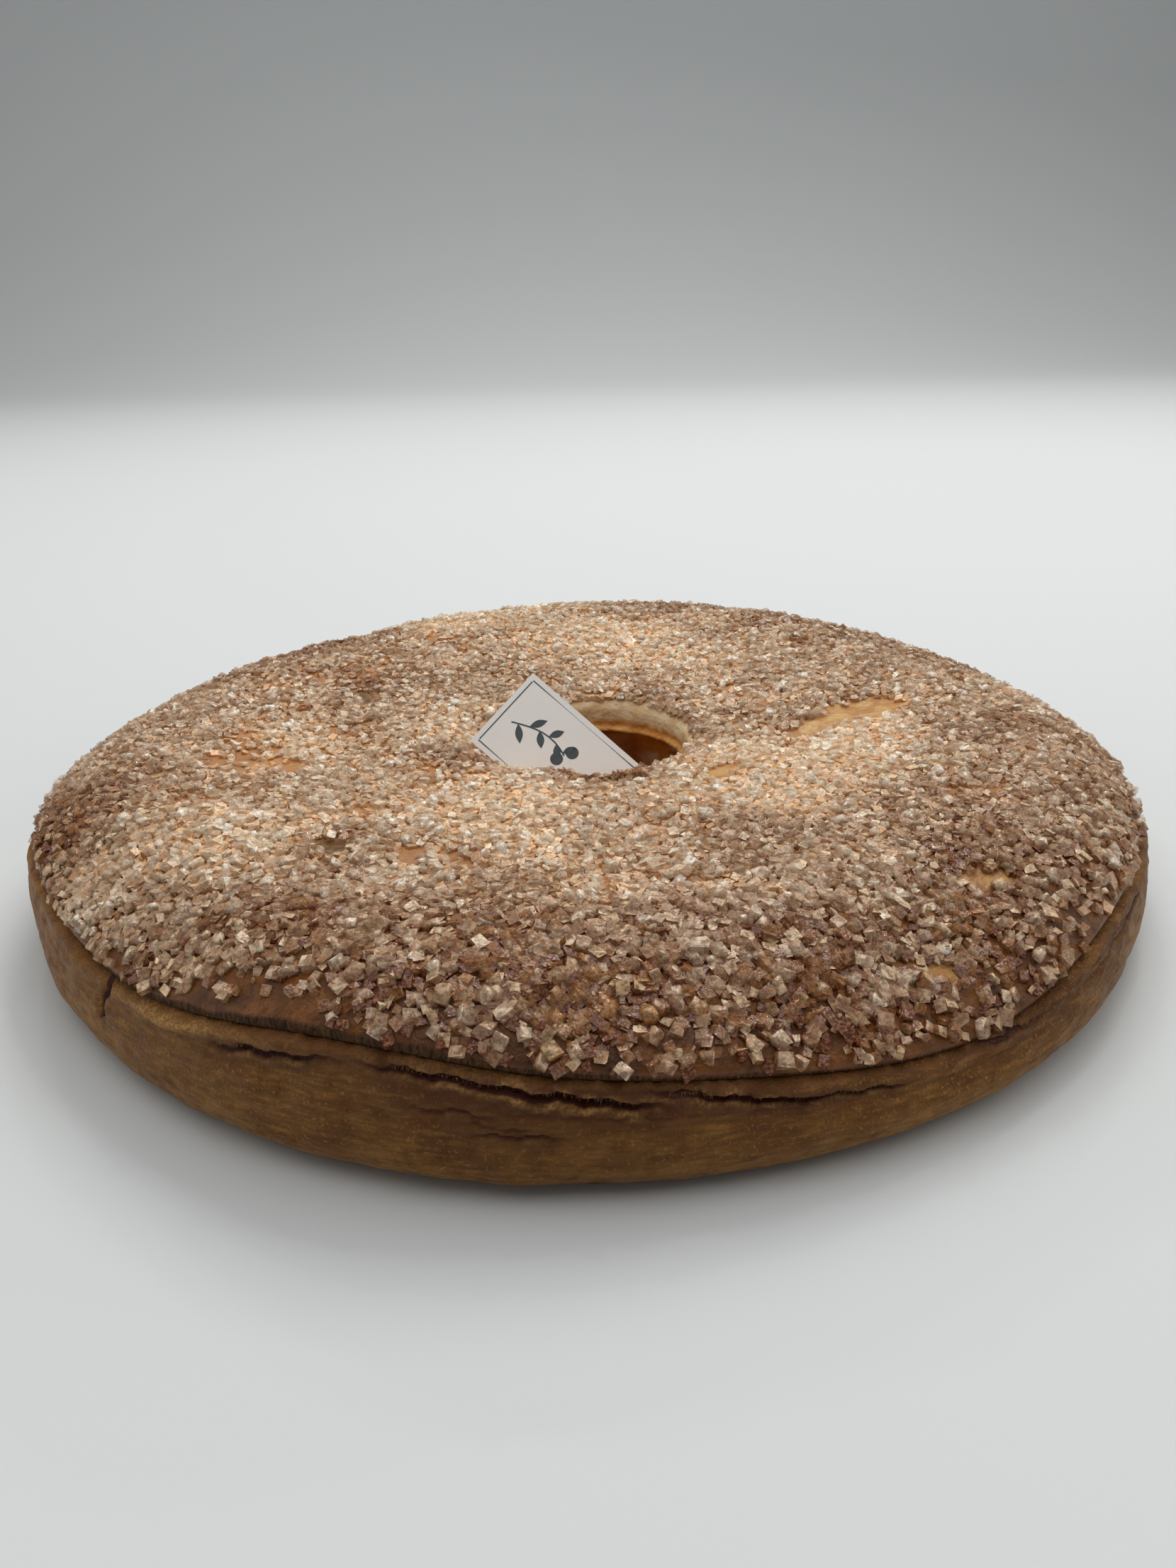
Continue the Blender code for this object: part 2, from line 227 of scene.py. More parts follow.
# %% A smooth profile
def smooth_path(points, counts, closed):
    """Catmull-Rom curve through (radius, height) points, with counts[i] steps between point i and the next."""
    p = np.array(points, float)
    if closed:
        p = np.vstack([p[-1], p, p[0], p[1]])
    else:
        p = np.vstack([2 * p[0] - p[1], p, 2 * p[-1] - p[-2]])
    rows = []
    for i, count in enumerate(counts):
        t = np.arange(count)[:, None] / count
        a, b, c, d = p[i], p[i + 1], p[i + 2], p[i + 3]
        rows.append(0.5 * (2 * b + (c - a) * t + (2 * a - 5 * b + 4 * c - d) * t**2 + (3 * b - a - 3 * c + d) * t**3))
    if not closed:
        rows.append(p[-2][None, :])
    return np.vstack(rows)


# %% From arrays to an object
def scene_object(name, data):
    """A new object in the scene, at the origin."""
    made = bpy.data.objects.new(name, data)
    bpy.context.scene.collection.objects.link(made)
    return made


def mesh_object(name, points_mm, faces, finish, numbers=None, smooth=True):
    """Makes an object from an array of points, lists of face corners, and numbers kept for each point or face."""
    mesh = bpy.data.meshes.new(name)
    sizes = np.concatenate([np.full(len(group), group.shape[1]) for group in faces])
    corners = np.concatenate([group.ravel() for group in faces]).astype(np.int32)
    mesh.vertices.add(len(points_mm))
    mesh.vertices.foreach_set("co", (points_mm * MM).astype(np.float32).ravel())
    mesh.loops.add(len(corners))
    mesh.loops.foreach_set("vertex_index", corners)
    mesh.polygons.add(len(sizes))
    mesh.polygons.foreach_set("loop_start", np.concatenate([[0], np.cumsum(sizes)[:-1]]).astype(np.int32))
    mesh.polygons.foreach_set("loop_total", sizes.astype(np.int32))
    for key, values in (numbers or {}).items():
        kept_on = "FACE" if values.size == len(sizes) else "POINT"
        mesh.attributes.new(key, "FLOAT", kept_on).data.foreach_set("value", values.astype(np.float32).ravel())
    mesh.update(calc_edges=True)
    mesh.validate()
    if smooth:
        mesh.shade_smooth()
    else:
        mesh.shade_flat()
    mesh.materials.append(finish)
    made = scene_object(name, mesh)
    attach(made, "root")
    print(f"{name}: {len(points_mm)} points, {int((sizes - 2).sum())} triangles")
    return made


# %% Grids round the axis
def grid_faces(rows, columns, closed):
    """Quads of a grid whose columns wrap round; rows wrap too if the profile is closed."""
    last = rows if closed else rows - 1
    i, j = np.meshgrid(np.arange(last), np.arange(columns), indexing="ij")
    a, b = i * columns + j, i * columns + (j + 1) % columns
    c, d = ((i + 1) % rows) * columns + (j + 1) % columns, ((i + 1) % rows) * columns + j
    return np.stack([a, b, c, d], -1).reshape(-1, 4)


def around_axis(profile, columns):
    """Points of a profile carried round the axis, (r cos a, r sin a, z) for every row and column, and the angle."""
    angle = np.linspace(-math.pi, math.pi, columns, endpoint=False)[None, :]
    radius, height = profile[:, :1], profile[:, 1:]
    return radius * np.cos(angle), radius * np.sin(angle), height + 0 * angle, angle + 0 * radius


def turned_skin(name, points, columns, ends, finish, numbers, end_numbers=(0.0, 0.0)):
    """A grid of turned points, closed by a fan of triangles on one end point before it and one after it."""
    count = len(points)
    j = np.arange(columns)
    k, last_row = (j + 1) % columns, count - columns
    start = np.stack([k, j, np.full(columns, count)], -1)
    end = np.stack([last_row + j, last_row + k, np.full(columns, count + 1)], -1)
    faces = [grid_faces(count // columns, columns, False), np.vstack([start, end])]
    numbers = {key: np.append(values.ravel(), end_numbers) for key, values in numbers.items()}
    return mesh_object(name, np.vstack([points, ends]), faces, finish, numbers)


# %% [markdown]
# ## The baked base
#
# The base is rich dough that was pressed into a ring and baked: golden brown outside, a little shiny where the egg
# wash ran, grainy like short pastry. Where the rising lid pulled on it, its rim tore open into slits just below the
# seam. The slits are carved into the skin: each is a bell round an angle times a narrow bell in height. The mesh
# keeps how deep each point lies in a slit and how near the floury rim it is, and the colours follow those numbers:
# the slits and the rim under the lid are painted dark as shade.

# %% Slits, crack and torn lip
# Each slit: (angle, half width in degrees, height before the seam's waves, slope in mm per degree, depth, half height)
SLITS = ((-114, 5.2, 17.3, 0.13, 1.5, 0.45), (-101, 4.5, 18.2, -0.02, 1.7, 0.50), (-92, 5.5, 17.6, -0.12, 2.4, 0.62),
         (-80, 5.5, 17.9, -0.18, 1.9, 0.50), (-71, 4.2, 17.4, 0.05, 1.2, 0.35), (-56.5, 3.6, 19.2, -0.15, 1.0, 0.35),
         (-100, 3.0, 14.2, 0.07, 0.65, 0.32), (-95.3, 3.2, 12.1, 0.10, 0.75, 0.34), (-106, 2.4, 12.8, 0.06, 0.4, 0.4),
         (-97, 2.4, 13.1, -0.08, 0.45, 0.28),
         (-46, 12, 18.4, -0.06, 0.35, 0.3), (-38, 13, 16.7, 0.04, 0.35, 0.35), (-88, 9, 15.4, 0.03, 0.3, 0.35),
         (-30, 6, 17.4, 0.08, 1.2, 0.45), (-8, 5, 16.4, -0.05, 0.9, 0.40), (35, 7, 17.6, 0.05, 1.5, 0.50),
         (62, 9, 17.0, -0.05, 1.7, 0.55), (96, 6, 17.8, 0.06, 1.1, 0.45), (128, 6, 16.8, 0.0, 1.0, 0.40),
         (152, 8, 17.6, 0.05, 1.5, 0.50), (-172, 5, 16.6, -0.06, 0.9, 0.40))
CRACK_ANGLE, CRACK_SLOPE, CRACK_HALF_WIDTH, CRACK_DEPTH = -134.2, 0.16, 0.40, 1.5
WALL_INSIDE = 112.0  # the wall's skin lies outside this radius
MM_PER_DEGREE = 2.06  # along the wall
LIP_HEIGHT = 18.9


def slit_wander(off, centre):
    """How far a slit strays from its straight line, in mm: two sines of the degrees from its centre."""
    return 0.25 * np.sin(off * 1.9 + centre) + 0.12 * np.sin(off * 5.3 + 2.0 * centre)


def slit_depth(angle, height, taller=1.0, wider=1.0):
    """Sum over slits of depth * (flat bell in angle) * (bell in height round a sloping line that wanders a little)."""
    total = 0.0
    for centre, half, level, slope, depth, thick in SLITS:
        off = degrees_from(angle, centre)
        above = (height - level - slope * off - slit_wander(off, centre)) / (thick * taller)
        total = total + depth * np.exp(-np.abs(off / (half * wider)) ** 3) * np.exp(-(above**2))
    return total


def lip_share(angle, height, radius):
    """Share of pale torn dough: the rim of the base at the front left, partly a painted highlight on its lit ledge, and
    a thin edge over each slit.
    """
    ragged = 0.5 * lumps(np.degrees(angle) / 0.8, height / 0.8, 0 * angle, 1.0, 7)
    rim = bell(angle, -125, 8) * np.exp(-(((height - LIP_HEIGHT - ragged) / 0.75) ** 2))
    slit = slit_depth(angle, height, 1.9, 1.1) - 1.6 * slit_depth(angle, height)
    return np.clip(rim + np.clip(slit, 0.0, 1.0) * (0.5 + ragged), 0.0, 1.0) * (radius > WALL_INSIDE)


# %% The skin of the base
BASE_POINTS = [(0.4, 0.0), (60.0, 0.0), (100.0, 0.0), (109.2, 0.05), (113.4, 0.8), (116.3, 2.6), (118.2, 5.0),
               (119.0, 7.8), (119.1, 10.6), (118.8, 13.2), (118.3, 15.4), (117.9, 16.8), (117.9, 18.4), (117.3, 19.4),
               (115.9, 19.95), (113.2, 20.3), (109.6, 20.55), (108.6, 19.2), (107.4, 12.0), (104.3, 7.2), (99.3, 5.6),
               (60.0, 5.05), (0.4, 5.0)]
BASE_STEPS = [2, 3, 4, 7, 6, 6, 6, 6, 8, 8, 6, 5, 4, 4, 5, 6, 2, 2, 2, 1, 1, 1]
BASE_COLUMNS, BASE_FLOOR = 1000, 5.0


def make_base(finish):
    """Turned profile, pushed out by dents, pulled bands, crumbs and lip and in by slits and crack, then warped."""
    x, y, z, angle = around_axis(smooth_path(BASE_POINTS, BASE_STEPS, closed=False), BASE_COLUMNS)
    radius, degrees, flat = np.hypot(x, y), np.degrees(angle), 0 * z
    around = degrees * MM_PER_DEGREE
    wall = smoothstep(111.0, 114.5, radius) * smoothstep(0.2, 2.0, z)
    skin = smoothstep(109.0, 112.0, radius) * smoothstep(-0.1, 0.6, z)
    depth = slit_depth(angle, z) * smoothstep(114.5, 117.0, radius)
    dents = lumps_of_sizes(x, y, z, (0.45, 11.0, 1), (0.20, 4.0, 2)) + 0.10 * lumps(x, y, z * 1.6, 1.8, 3)
    pulled = lumps(around / 7.0, z / 1.1, flat, 1.0, 4) * smoothstep(8.0, 15.0, z) * 0.30
    crumbs = np.maximum(lumps(x, y, z, 1.6, 5), 0.0) * 0.55 * np.exp(-(((z - 0.7) / 0.9) ** 2))
    lip = 0.35 * np.maximum(lumps(around / 3.0, z / 2.0, flat, 1.0, 6), 0.0) * np.exp(-(((z - LIP_HEIGHT) / 0.9) ** 2))
    torn = 0.45 * lumps(around / 1.4, z / 3.0, flat, 1.0, 8) * smoothstep(18.6, 19.8, z)
    crack_off = degrees - CRACK_ANGLE - CRACK_SLOPE * (z - 14.0) + 0.35 * np.sin(z * 1.3)
    crack = CRACK_DEPTH * np.exp(-((crack_off / CRACK_HALF_WIDTH) ** 2)) * smoothstep(8.5, 15.0, z) * wall
    push = wall * (dents + pulled - 0.25) + skin * (crumbs + lip) - depth - crack
    scale = 1.0 + push / np.maximum(radius, 1.0)
    x, y = x * scale, y * scale
    z = z + torn * wall * smoothstep(110.0, 113.0, radius)
    points = placed(x, y, z).reshape(-1, 3)
    points[:, 2] = np.maximum(points[:, 2], 0.0)
    # darker round the slits, plus painted shade on the front of the wall round -90 degrees
    stain_and_front_shade = slit_depth(angle, z, 3.4, 1.3) / 1.5 + 0.28 * bell(angle, -90, 16)
    numbers = {
        # how deep a point lies in a slit or the crack; its dark colour there is painted shade
        "slit": np.clip((depth + 0.9 * crack) / 1.3, 0, 1),
        # the rim under the lid's edge at the front, painted dark as shade
        "floury_edge_in_shade": smoothstep(19.0, 19.9, z) * smoothstep(118.2, 116.8, radius) * bell(angle, -98, 34),
        # painted light: the two sides of the wall paler
        "pale": np.clip(bell(angle, -168, 32) + 0.6 * bell(angle, -8, 22), 0.0, 1.0),
        "level": z,
        "lip": lip_share(angle, z, radius),
        "stain_and_front_shade": np.clip(stain_and_front_shade, 0.0, 1.0) * (radius > WALL_INSIDE),
    }
    middle = [TURN_CENTRE[0] + HOLE_SHIFT, TURN_CENTRE[1]]
    return turned_skin("baked_base", points, BASE_COLUMNS, [middle + [0.0], middle + [BASE_FLOOR]], finish, numbers)


# %% [markdown]
# ## Golden crust
#
# Egg-washed yeast dough: the Maillard browning makes it caramel, and it is darker towards the top. Painted shade
# darkens the torn slits, the front of the wall and the floury rim below the lid, and painted light makes it paler at
# the two sides and along the foot. The torn lip of the rim is pale, with a painted highlight at the front left. A cut
# pore is under half a millimetre. The colour is laid in coats that follow four kinds of noise and the numbers that the
# mesh keeps; the fine grain is bump, because it is finer than the mesh.


# %% Material of the base
def baked_crust():
    """Coats from the bottom up: browns, pale foot, painted light on the sides, dark top, fibres, grains, painted light
    on the foot, stains and painted shade, torn lips with a painted highlight, painted shade in the slits.
    """
    made, tree, shader, place = start_material("baked_yeast_dough", IOR=1.45, Roughness=0.55, Specular_IOR_Level=0.25)
    broad, fine, grain = cloud(tree, place, 14.0), cloud(tree, place, 3.0, 4.0), cloud(tree, place, 0.55, 2.0)
    fibres = cloud(tree, place, 5.0, 4.0, 0.65, (1.0, 1.0, 6.0))
    colour = coats(
        tree, "#8a5f24",
        (broad, 0.35, 0.65, "#694012"),
        ("level", 9.0, 3.0, 0.0, 0.45, "#a87b3a"),
        ("level", 10.0, 17.0, 0.0, 0.45, "#5e3712"),
        # painted light on the two sides
        ("pale", 0.0, 1.0, 0.0, 0.6, coats(tree, "#b98a52", (broad, "#96663a"))),
        (fibres, 0.46, 0.66, 0.0, 0.60, "#56300f"),
        (fibres, 0.46, 0.32, 0.0, 0.45, "#a9773a"),
        (fine, 0.52, 0.70, 0.0, 0.45, "#4f270c"),
        (grain, 0.58, 0.74, 0.0, 0.55, "#b98a4e"),
        # painted light: a lighter band along the foot
        ("level", 2.6, 0.4, 0.0, 0.6, "#9d6528"),
        # stains round the slits, and painted shade on the front of the wall
        ("stain_and_front_shade", coats(tree, "#5a2f10", (fine, "#371706"))),
        # painted shade on the rim under the lid's edge
        ("floury_edge_in_shade", coats(tree, "#7c5127", (grain, "#482b13"))),
        # pale torn dough, with a painted highlight on the lit ledge at the front left
        ("lip", coats(tree, "#b88d52", (grain, 0.4, 0.6, "#8a6030"))),
        # painted shade inside the slits and the crack
        ("slit", 0.30, 0.55, "#41190b"),
    )
    rough = add(tree, "ShaderNodeMapRange", {0: fine, 1: 0.3, 2: 0.7, 3: 0.42, 4: 0.68})
    height = add(tree, "ShaderNodeMath", {0: grain, 1: fibres}, operation="ADD")
    paint(tree, shader, colour, (height, 0.8, 0.4), Roughness=rough)
    return made


base = make_base(baked_crust())
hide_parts("base_crust")

# %% [markdown]
# ## The lid
#
# The lid is a thick sheet of the same dough. Steam pushed it up unevenly, so its top has swells, hollows and a few
# wrinkles. Round the hole the dough rolled into a smooth pale ring, and its cut edge at the seam is dull with flour
# and painted dark as shade.
# The lid is one closed profile carried round the axis. The function that places its points is kept apart, because the
# sugar is set on the same surface later.

# %% The lid's profile and surface
UNDER = SEAM_HEIGHT + 0.45
LID_POINTS = [(HOLE_RADIUS + 0.9, UNDER), (HOLE_RADIUS + 0.2, UNDER + 1.4), (HOLE_RADIUS + 0.1, CROWN - 8.0),
              (HOLE_RADIUS + 0.4, CROWN - 6.2), (HOLE_RADIUS + 1.5, CROWN - 4.9), (HOLE_RADIUS + 2.1, CROWN - 4.6),
              (HOLE_RADIUS + 2.5, CROWN - 3.8), (HOLE_RADIUS + 4.6, CROWN - 3.3), (29.0, CROWN - 3.1),
              (34.5, CROWN - 2.6), (48.0, CROWN - 1.6), (62.5, CROWN - 0.8), (77.5, CROWN - 0.2), (84.5, CROWN),
              (91.0, CROWN - 0.1), (96.5, CROWN - 0.6), (101.5, CROWN - 1.7), (106.0, CROWN - 3.3),
              (110.0, CROWN - 5.3), (113.0, CROWN - 7.2), (115.2, CROWN - 9.1), (115.9, SEAM_HEIGHT + 1.2),
              (115.7, SEAM_HEIGHT - 0.1), (114.6, SEAM_HEIGHT - 0.3), (106.0, UNDER), (75.0, UNDER), (45.0, UNDER)]
LID_STEPS = [3, 3, 4, 3, 2, 3, 4, 5, 6, 13, 14, 14, 7, 7, 6, 6, 6, 6, 6, 5, 4, 3, 3, 3, 1, 1, 1]
TOP_FIRST, TOP_LAST = 7, 20  # the points of the profile that are the sugared top
LID_COLUMNS = 700


def lid_surface(radius, height, angle):
    """Turned point to lid point: relief of three sizes on the top, then the shared warp and the lid's own swells."""
    x, y = radius * np.cos(angle), radius * np.sin(angle)
    degrees, flat = np.degrees(angle), 0 * x
    top = smoothstep(CROWN - 9.5, CROWN - 6.0, height) * smoothstep(HOLE_RADIUS + 1.0, HOLE_RADIUS + 3.5, radius)
    relief = lumps_of_sizes(x, y, height, (0.45, 13.0, 11), (0.30, 5.5, 12), (0.12, 2.2, 13))
    slope = smoothstep(CROWN - 2.0, CROWN - 6.0, height) * smoothstep(96.0, 104.0, radius)
    wrinkles = 0.22 * lumps(degrees / 3.2, radius / 1.3, flat, 1.0, 14) * slope
    ring = 0.25 * lumps(degrees / 6.0, height / 1.2, flat, 1.0, 15) * smoothstep(24.0, 21.0, radius)
    stretch = 1.0 + ring / np.maximum(radius, 1.0)
    x, y, z = warp(x * stretch, y * stretch, height)
    z = lid_top(x, y, z) + (top * relief + wrinkles * top)
    return np.stack([x + TURN_CENTRE[0], y + TURN_CENTRE[1], z], -1)


# %% Bare places, cut edge and browning
# Bare places of the lid, as (x, y, reach along, reach across, turn in degrees, share of brown): sugar stays off
# them. The pale ones are swells of bare dough, the brown ones are pits, and their brown is painted shade.
BARE_SPOTS = ((65.0, 6.0, 10.0, 8.0, 15, 0), (50.0, -2.0, 8.0, 3.5, 30, 0), (27.0, -29.0, 5.0, 4.2, 10, 0),
              (39.5, -12.4, 3.2, 2.2, 8, 0.9), (52.0, -92.5, 7.0, 1.2, 8, 0.2), (66.0, -73.0, 8.0, 1.8, 10, 0.1),
              (75.0, -9.7, 2.2, 1.4, 0, 0), (-54.5, 19.5, 6.5, 2.2, -42, 1), (-45.5, -62.0, 4.2, 3.0, -20, 1),
              (4.5, -28.0, 8.0, 3.0, 0, 0.8), (60.0, 70.0, 5.0, 2.0, -45, 0.4), (-88.0, -30.0, 3.4, 1.6, 60, 0.4))


def bareness(x, y, brown=False):
    """Sum of turned oval bells, held at 1, with a ragged border from noise. For brown, each counts by its share."""
    total = 0.0
    for cx, cy, along, across, turn, share in BARE_SPOTS:
        c, s = math.cos(math.radians(turn)), math.sin(math.radians(turn))
        u, v = (x - cx) * c + (y - cy) * s, -(x - cx) * s + (y - cy) * c
        total = total + (share if brown else 1.0) * np.exp(-((u / along) ** 2 + (v / across) ** 2))
    return np.clip(total * (1.0 + 0.35 * lumps(x, y, 0 * x, 3.0, 21)), 0.0, 1.0)


def cut_edge(angle):
    """Height where the cut edge of the lid begins: 2 mm above its foot at the front left, under 1 mm elsewhere."""
    wander = 0.35 * np.sin(angle * 31.0) + 0.25 * np.sin(angle * 73.0 + 1.0)
    return SEAM_HEIGHT + 0.35 + 1.35 * bell(angle, -110, 27) + 0.7 * bell(angle, 150, 40) + wander * 0.5


# Browning and painted shade by place, as (x, y, reach, value): below 0 paler, above 0 darker. The bells near
# (76, -63), under a ridge, and near (1, -24), in the dent in front of the hole, are painted shade.
BROWNING_AND_SHADE = ((4, -21, 6, 0.70), (19, 1, 7, 0.35), (-60, 80, 12, 0.25), (-88, 62, 14, 0.20), (-50, 58, 14, -0.15),
            (-80, 28, 14, -0.22), (-80, -20, 12, -0.15), (40, -20, 10, -0.25), (102, 42, 13, 0.22),
            (100, 18, 11, -0.28), (80, -40, 10, -0.15), (100, -42, 12, 0.20), (62, -98, 10, 0.20),
            (-62, -96, 10, -0.25), (60, 80, 10, 0.20), (40, 82, 10, -0.15), (-38, 82, 9, -0.12), (-20, 80, 9, 0.12),
            (76, -63, 8, 0.12), (80, -78, 9, -0.12), (40, -25, 16, -0.75), (60, -14, 12, -0.60),
            (30, -42, 14, -0.30), (-18, -42, 16, -0.45), (-6, -60, 18, -0.30), (-80, -62, 18, -0.45),
            (-62, -62, 12, -0.10), (6, 62, 20, -0.60), (-36, 88, 20, -0.60), (-60, -5, 18, -0.15),
            (-52, 22, 12, 0.15), (-86, 66, 20, 0.40), (-104, 46, 14, -0.05), (-103, -50, 15, 0.60),
            (-100, -10, 12, 0.12), (60, -50, 13, 0.20), (32, -62, 14, 0.15), (60, 24, 12, -0.20),
            (30, 42, 14, -0.20), (74, 74, 22, 0.15), (1, -24, 9, 1.00), (-10, -82, 30, 0.20), (90, 56, 28, 0.16),
            (30, -64, 17, 0.28), (-70, -84, 16, 0.35), (26, 94, 16, 0.28), (74, -84, 18, 0.15), (-36, 66, 14, 0.10),
            (76, -62, 14, 0.15), (-70, 74, 14, 0.12))


def browning_and_shade(x, y, front=1.0):
    """Sum of round bells, plus noise of three sizes, plus painted shade on the outer slope, most in front, which is the
    darkest part.
    """
    total = sum(value * np.exp(-((x - cx) ** 2 + (y - cy) ** 2) / reach**2) for cx, cy, reach, value in BROWNING_AND_SHADE)
    uneven = lumps_of_sizes(x, y, 0 * x, (0.16, 16.0, 22), (0.14, 7.0, 23), (0.10, 3.5, 24))
    # painted shade: the outer slope darker all round, most in front
    slope = smoothstep(80.0, 106.0, np.hypot(x, y)) * (0.12 + 0.50 * front * bell(np.arctan2(y, x), -85, 42))
    return total + uneven + slope


# %% The skin of the lid
def make_lid(finish):
    """The closed profile on a grid, with numbers for each kind of place on the dough."""
    profile = smooth_path(LID_POINTS, LID_STEPS, closed=True)
    height, angle = around_axis(profile, LID_COLUMNS)[2:]
    radius = profile[:, :1] + 0 * angle
    points = lid_surface(radius, height, angle)
    x, y = points[..., 0], points[..., 1]
    on_ring = smoothstep(CROWN - 9.6, CROWN - 8.0, height)
    below_ring = smoothstep(CROWN - 7.8, CROWN - 9.6, height)
    numbers = {
        "bare": bareness(x, y) * smoothstep(CROWN - 7.0, CROWN - 5.0, height),
        # pits in painted shade
        "pit": bareness(x, y, brown=True) * (height > CROWN - 7.0),
        # browning with painted shade, darkest on the front slope
        "browned_and_shaded": np.clip(0.4 + 0.9 * browning_and_shade(x, y), 0.0, 1.0),
        "slope": smoothstep(93.0, 112.0, radius) * smoothstep(UNDER - 0.2, UNDER + 1.2, height),
        # the lid's cut edge: dull, and painted dark as shade
        "floury_edge_in_shade": smoothstep(0.35, -0.35, height - cut_edge(angle)) * smoothstep(112.0, 114.0, radius),
        "ring": smoothstep(HOLE_RADIUS + 3.4, HOLE_RADIUS + 1.6, radius) * on_ring,
        "moist": smoothstep(HOLE_RADIUS + 2.4, HOLE_RADIUS + 1.2, radius) * below_ring,
    }
    outward = grid_faces(len(profile), LID_COLUMNS, True)[:, ::-1]
    return mesh_object("lid_dough", points.reshape(-1, 3), [outward], finish, numbers)


# %% [markdown]
# ## Egg-washed dough under sugar
#
# Under the sugar the dough is caramel and a little sticky, because part of the sugar melted into it, and its browning
# carries painted shade, darkest on the front slope. It is paler where nothing lies on it, brown in the pits, which is
# painted shade, red-brown and glossy on the slope down to the seam, beige on the ring in the hole and orange below,
# where the fruit has soaked in. The cut edge at the seam is painted dark as shade.


# %% Material of the lid
def lid_crust_finish():
    """Coats from the bottom up: browned dough with painted shade, the slope, bare spots, pits in painted shade, the
    ring, its moist side, the cut edge in painted shade.
    """
    made, tree, shader, place = start_material("egg_washed_dough", IOR=1.46, Roughness=0.42, Specular_IOR_Level=0.35)
    broad, fine, grain = cloud(tree, place, 18.0), cloud(tree, place, 4.0, 4.0), cloud(tree, place, 1.0, 2.0)
    threads = cloud(tree, place, 0.5, 2.0, 0.5, (1.0, 1.0, 0.15))
    colour = coats(
        tree, coats(tree, "#c9935a", (broad, "#b37a42")),
        # browned dough, which carries painted shade, darkest on the front slope
        ("browned_and_shaded", coats(tree, "#8a5028", (broad, "#6b391b"))),
        (fine, 0.5, 0.75, 0.0, 0.4, "#7b4220"),
        ("slope", coats(tree, "#784719", (fine, 0.4, 0.65, "#4b2a0d"))),
        ("bare", coats(tree, "#cda468", (fine, 0.4, 0.6, "#b27c40"))),
        # pits: painted shade in the hollows
        ("pit", 0.1, 0.7, coats(tree, "#80561f", (fine, "#45290f"))),
        ("ring", coats(tree, "#f6dcb2", (fine, 0.4, 0.6, "#e6c08c"))),
        ("moist", coats(tree, "#f2b464", (fine, 0.4, 0.6, "#d08a3c"))),
        # the cut edge: painted shade, with paler threads
        ("floury_edge_in_shade", coats(tree, "#2e1c0f", (threads, 0.35, 0.65, "#5c3f24"))),
    )
    egg_wash = add(tree, "ShaderNodeMapRange", {0: fine, 1: 0.3, 2: 0.7, 3: 0.28, 4: 0.52})
    floury_edge_in_shade = add(tree, "ShaderNodeAttribute", output=2, attribute_name="floury_edge_in_shade")
    rough = add(tree, "ShaderNodeMath", {0: egg_wash, 1: floury_edge_in_shade}, operation="MAXIMUM")
    height = add(tree, "ShaderNodeMath", {0: grain, 1: fine}, operation="ADD")
    paint(tree, shader, colour, (height, 0.7, 0.4), Roughness=rough)
    return made


lid = make_lid(lid_crust_finish())
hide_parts("lid_crust")

# %% [markdown]
# ## The filling
#
# Only a little of the cooked apricot shows, deep in the hole: a dark, wet, lumpy surface. Its skin is the same turned
# shape as the solid, with soft lumps where it can be seen.

# %% The skin of the filling
FILLING_POINTS = [(0.4, 5.45), (98.0, 5.9), (103.9, 7.5), (107.0, 12.1), (108.0, 19.3), (107.6, 20.25), (98.0, 20.35),
                  (75.0, 20.35), (45.0, 20.35), (28.5, 20.35), (25.5, 19.3), (24.2, 15.0), (22.4, 10.6), (18.5, 8.3),
                  (9.0, 8.0), (0.4, 8.0)]
FILLING_STEPS = [1, 1, 2, 2, 1, 1, 2, 2, 3, 5, 8, 8, 8, 10, 10]
FILLING_COLUMNS, FILLING_TOP = 240, 20.4


def make_filling(finish):
    """Turned profile; in the hole its height gets lumps and its side swells inward. Keeps its depth below the top."""
    x, y, z = around_axis(smooth_path(FILLING_POINTS, FILLING_STEPS, closed=False), FILLING_COLUMNS)[:3]
    radius = np.hypot(x, y)
    seen = smoothstep(30.0, 26.0, radius) * smoothstep(5.9, 7.6, z)
    wet = seen * lumps_of_sizes(x, y, z, (0.7, 6.0, 31), (0.35, 2.6, 32))
    inward = seen * smoothstep(15.0, 22.0, radius) * smoothstep(9.0, 12.0, z)
    scale = 1.0 - inward * (0.6 + lumps(x, y, z, 4.0, 33) * 0.6) / np.maximum(radius, 1.0)
    points = placed(x * scale, y * scale, z + wet * smoothstep(21.0, 16.0, radius)).reshape(-1, 3)
    middle = [TURN_CENTRE[0] + HOLE_SHIFT, TURN_CENTRE[1]]
    ends = [middle + [FILLING_POINTS[0][1]], middle + [float(points[-FILLING_COLUMNS:, 2].mean())]]
    # depth below the top, which darkens the jam as painted shade
    numbers = {"depth": FILLING_TOP - z}
    return turned_skin("apricot_jam", points, FILLING_COLUMNS, ends, finish, numbers, (0.0, 12.0))


# %% [markdown]
# ## Cooked apricot
#
# Thick jam: wet, so its roughness is low and its index of refraction is that of syrup, 1.45. It is orange-brown at
# the side of the hole and painted dark as shade towards the bottom.


# %% Material of the filling
def cooked_apricot():
    """Two oranges in patches, with painted shade deeper in the hole."""
    made, tree, shader, place = start_material("cooked_apricot_jam", IOR=1.45, Roughness=0.2)
    colour = coats(tree, "#d08a34", (cloud(tree, place, 7.0), 0.35, 0.65, "#a85e22"),
                   # painted shade, darker the deeper in the hole
                   ("depth", 4.0, 11.0, 0.0, 0.8, "#5c2e12"))
    paint(tree, shader, colour, (cloud(tree, place, 1.8), 0.4, 0.5))
    return made


filling = make_filling(cooked_apricot())
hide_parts("apricot_filling")

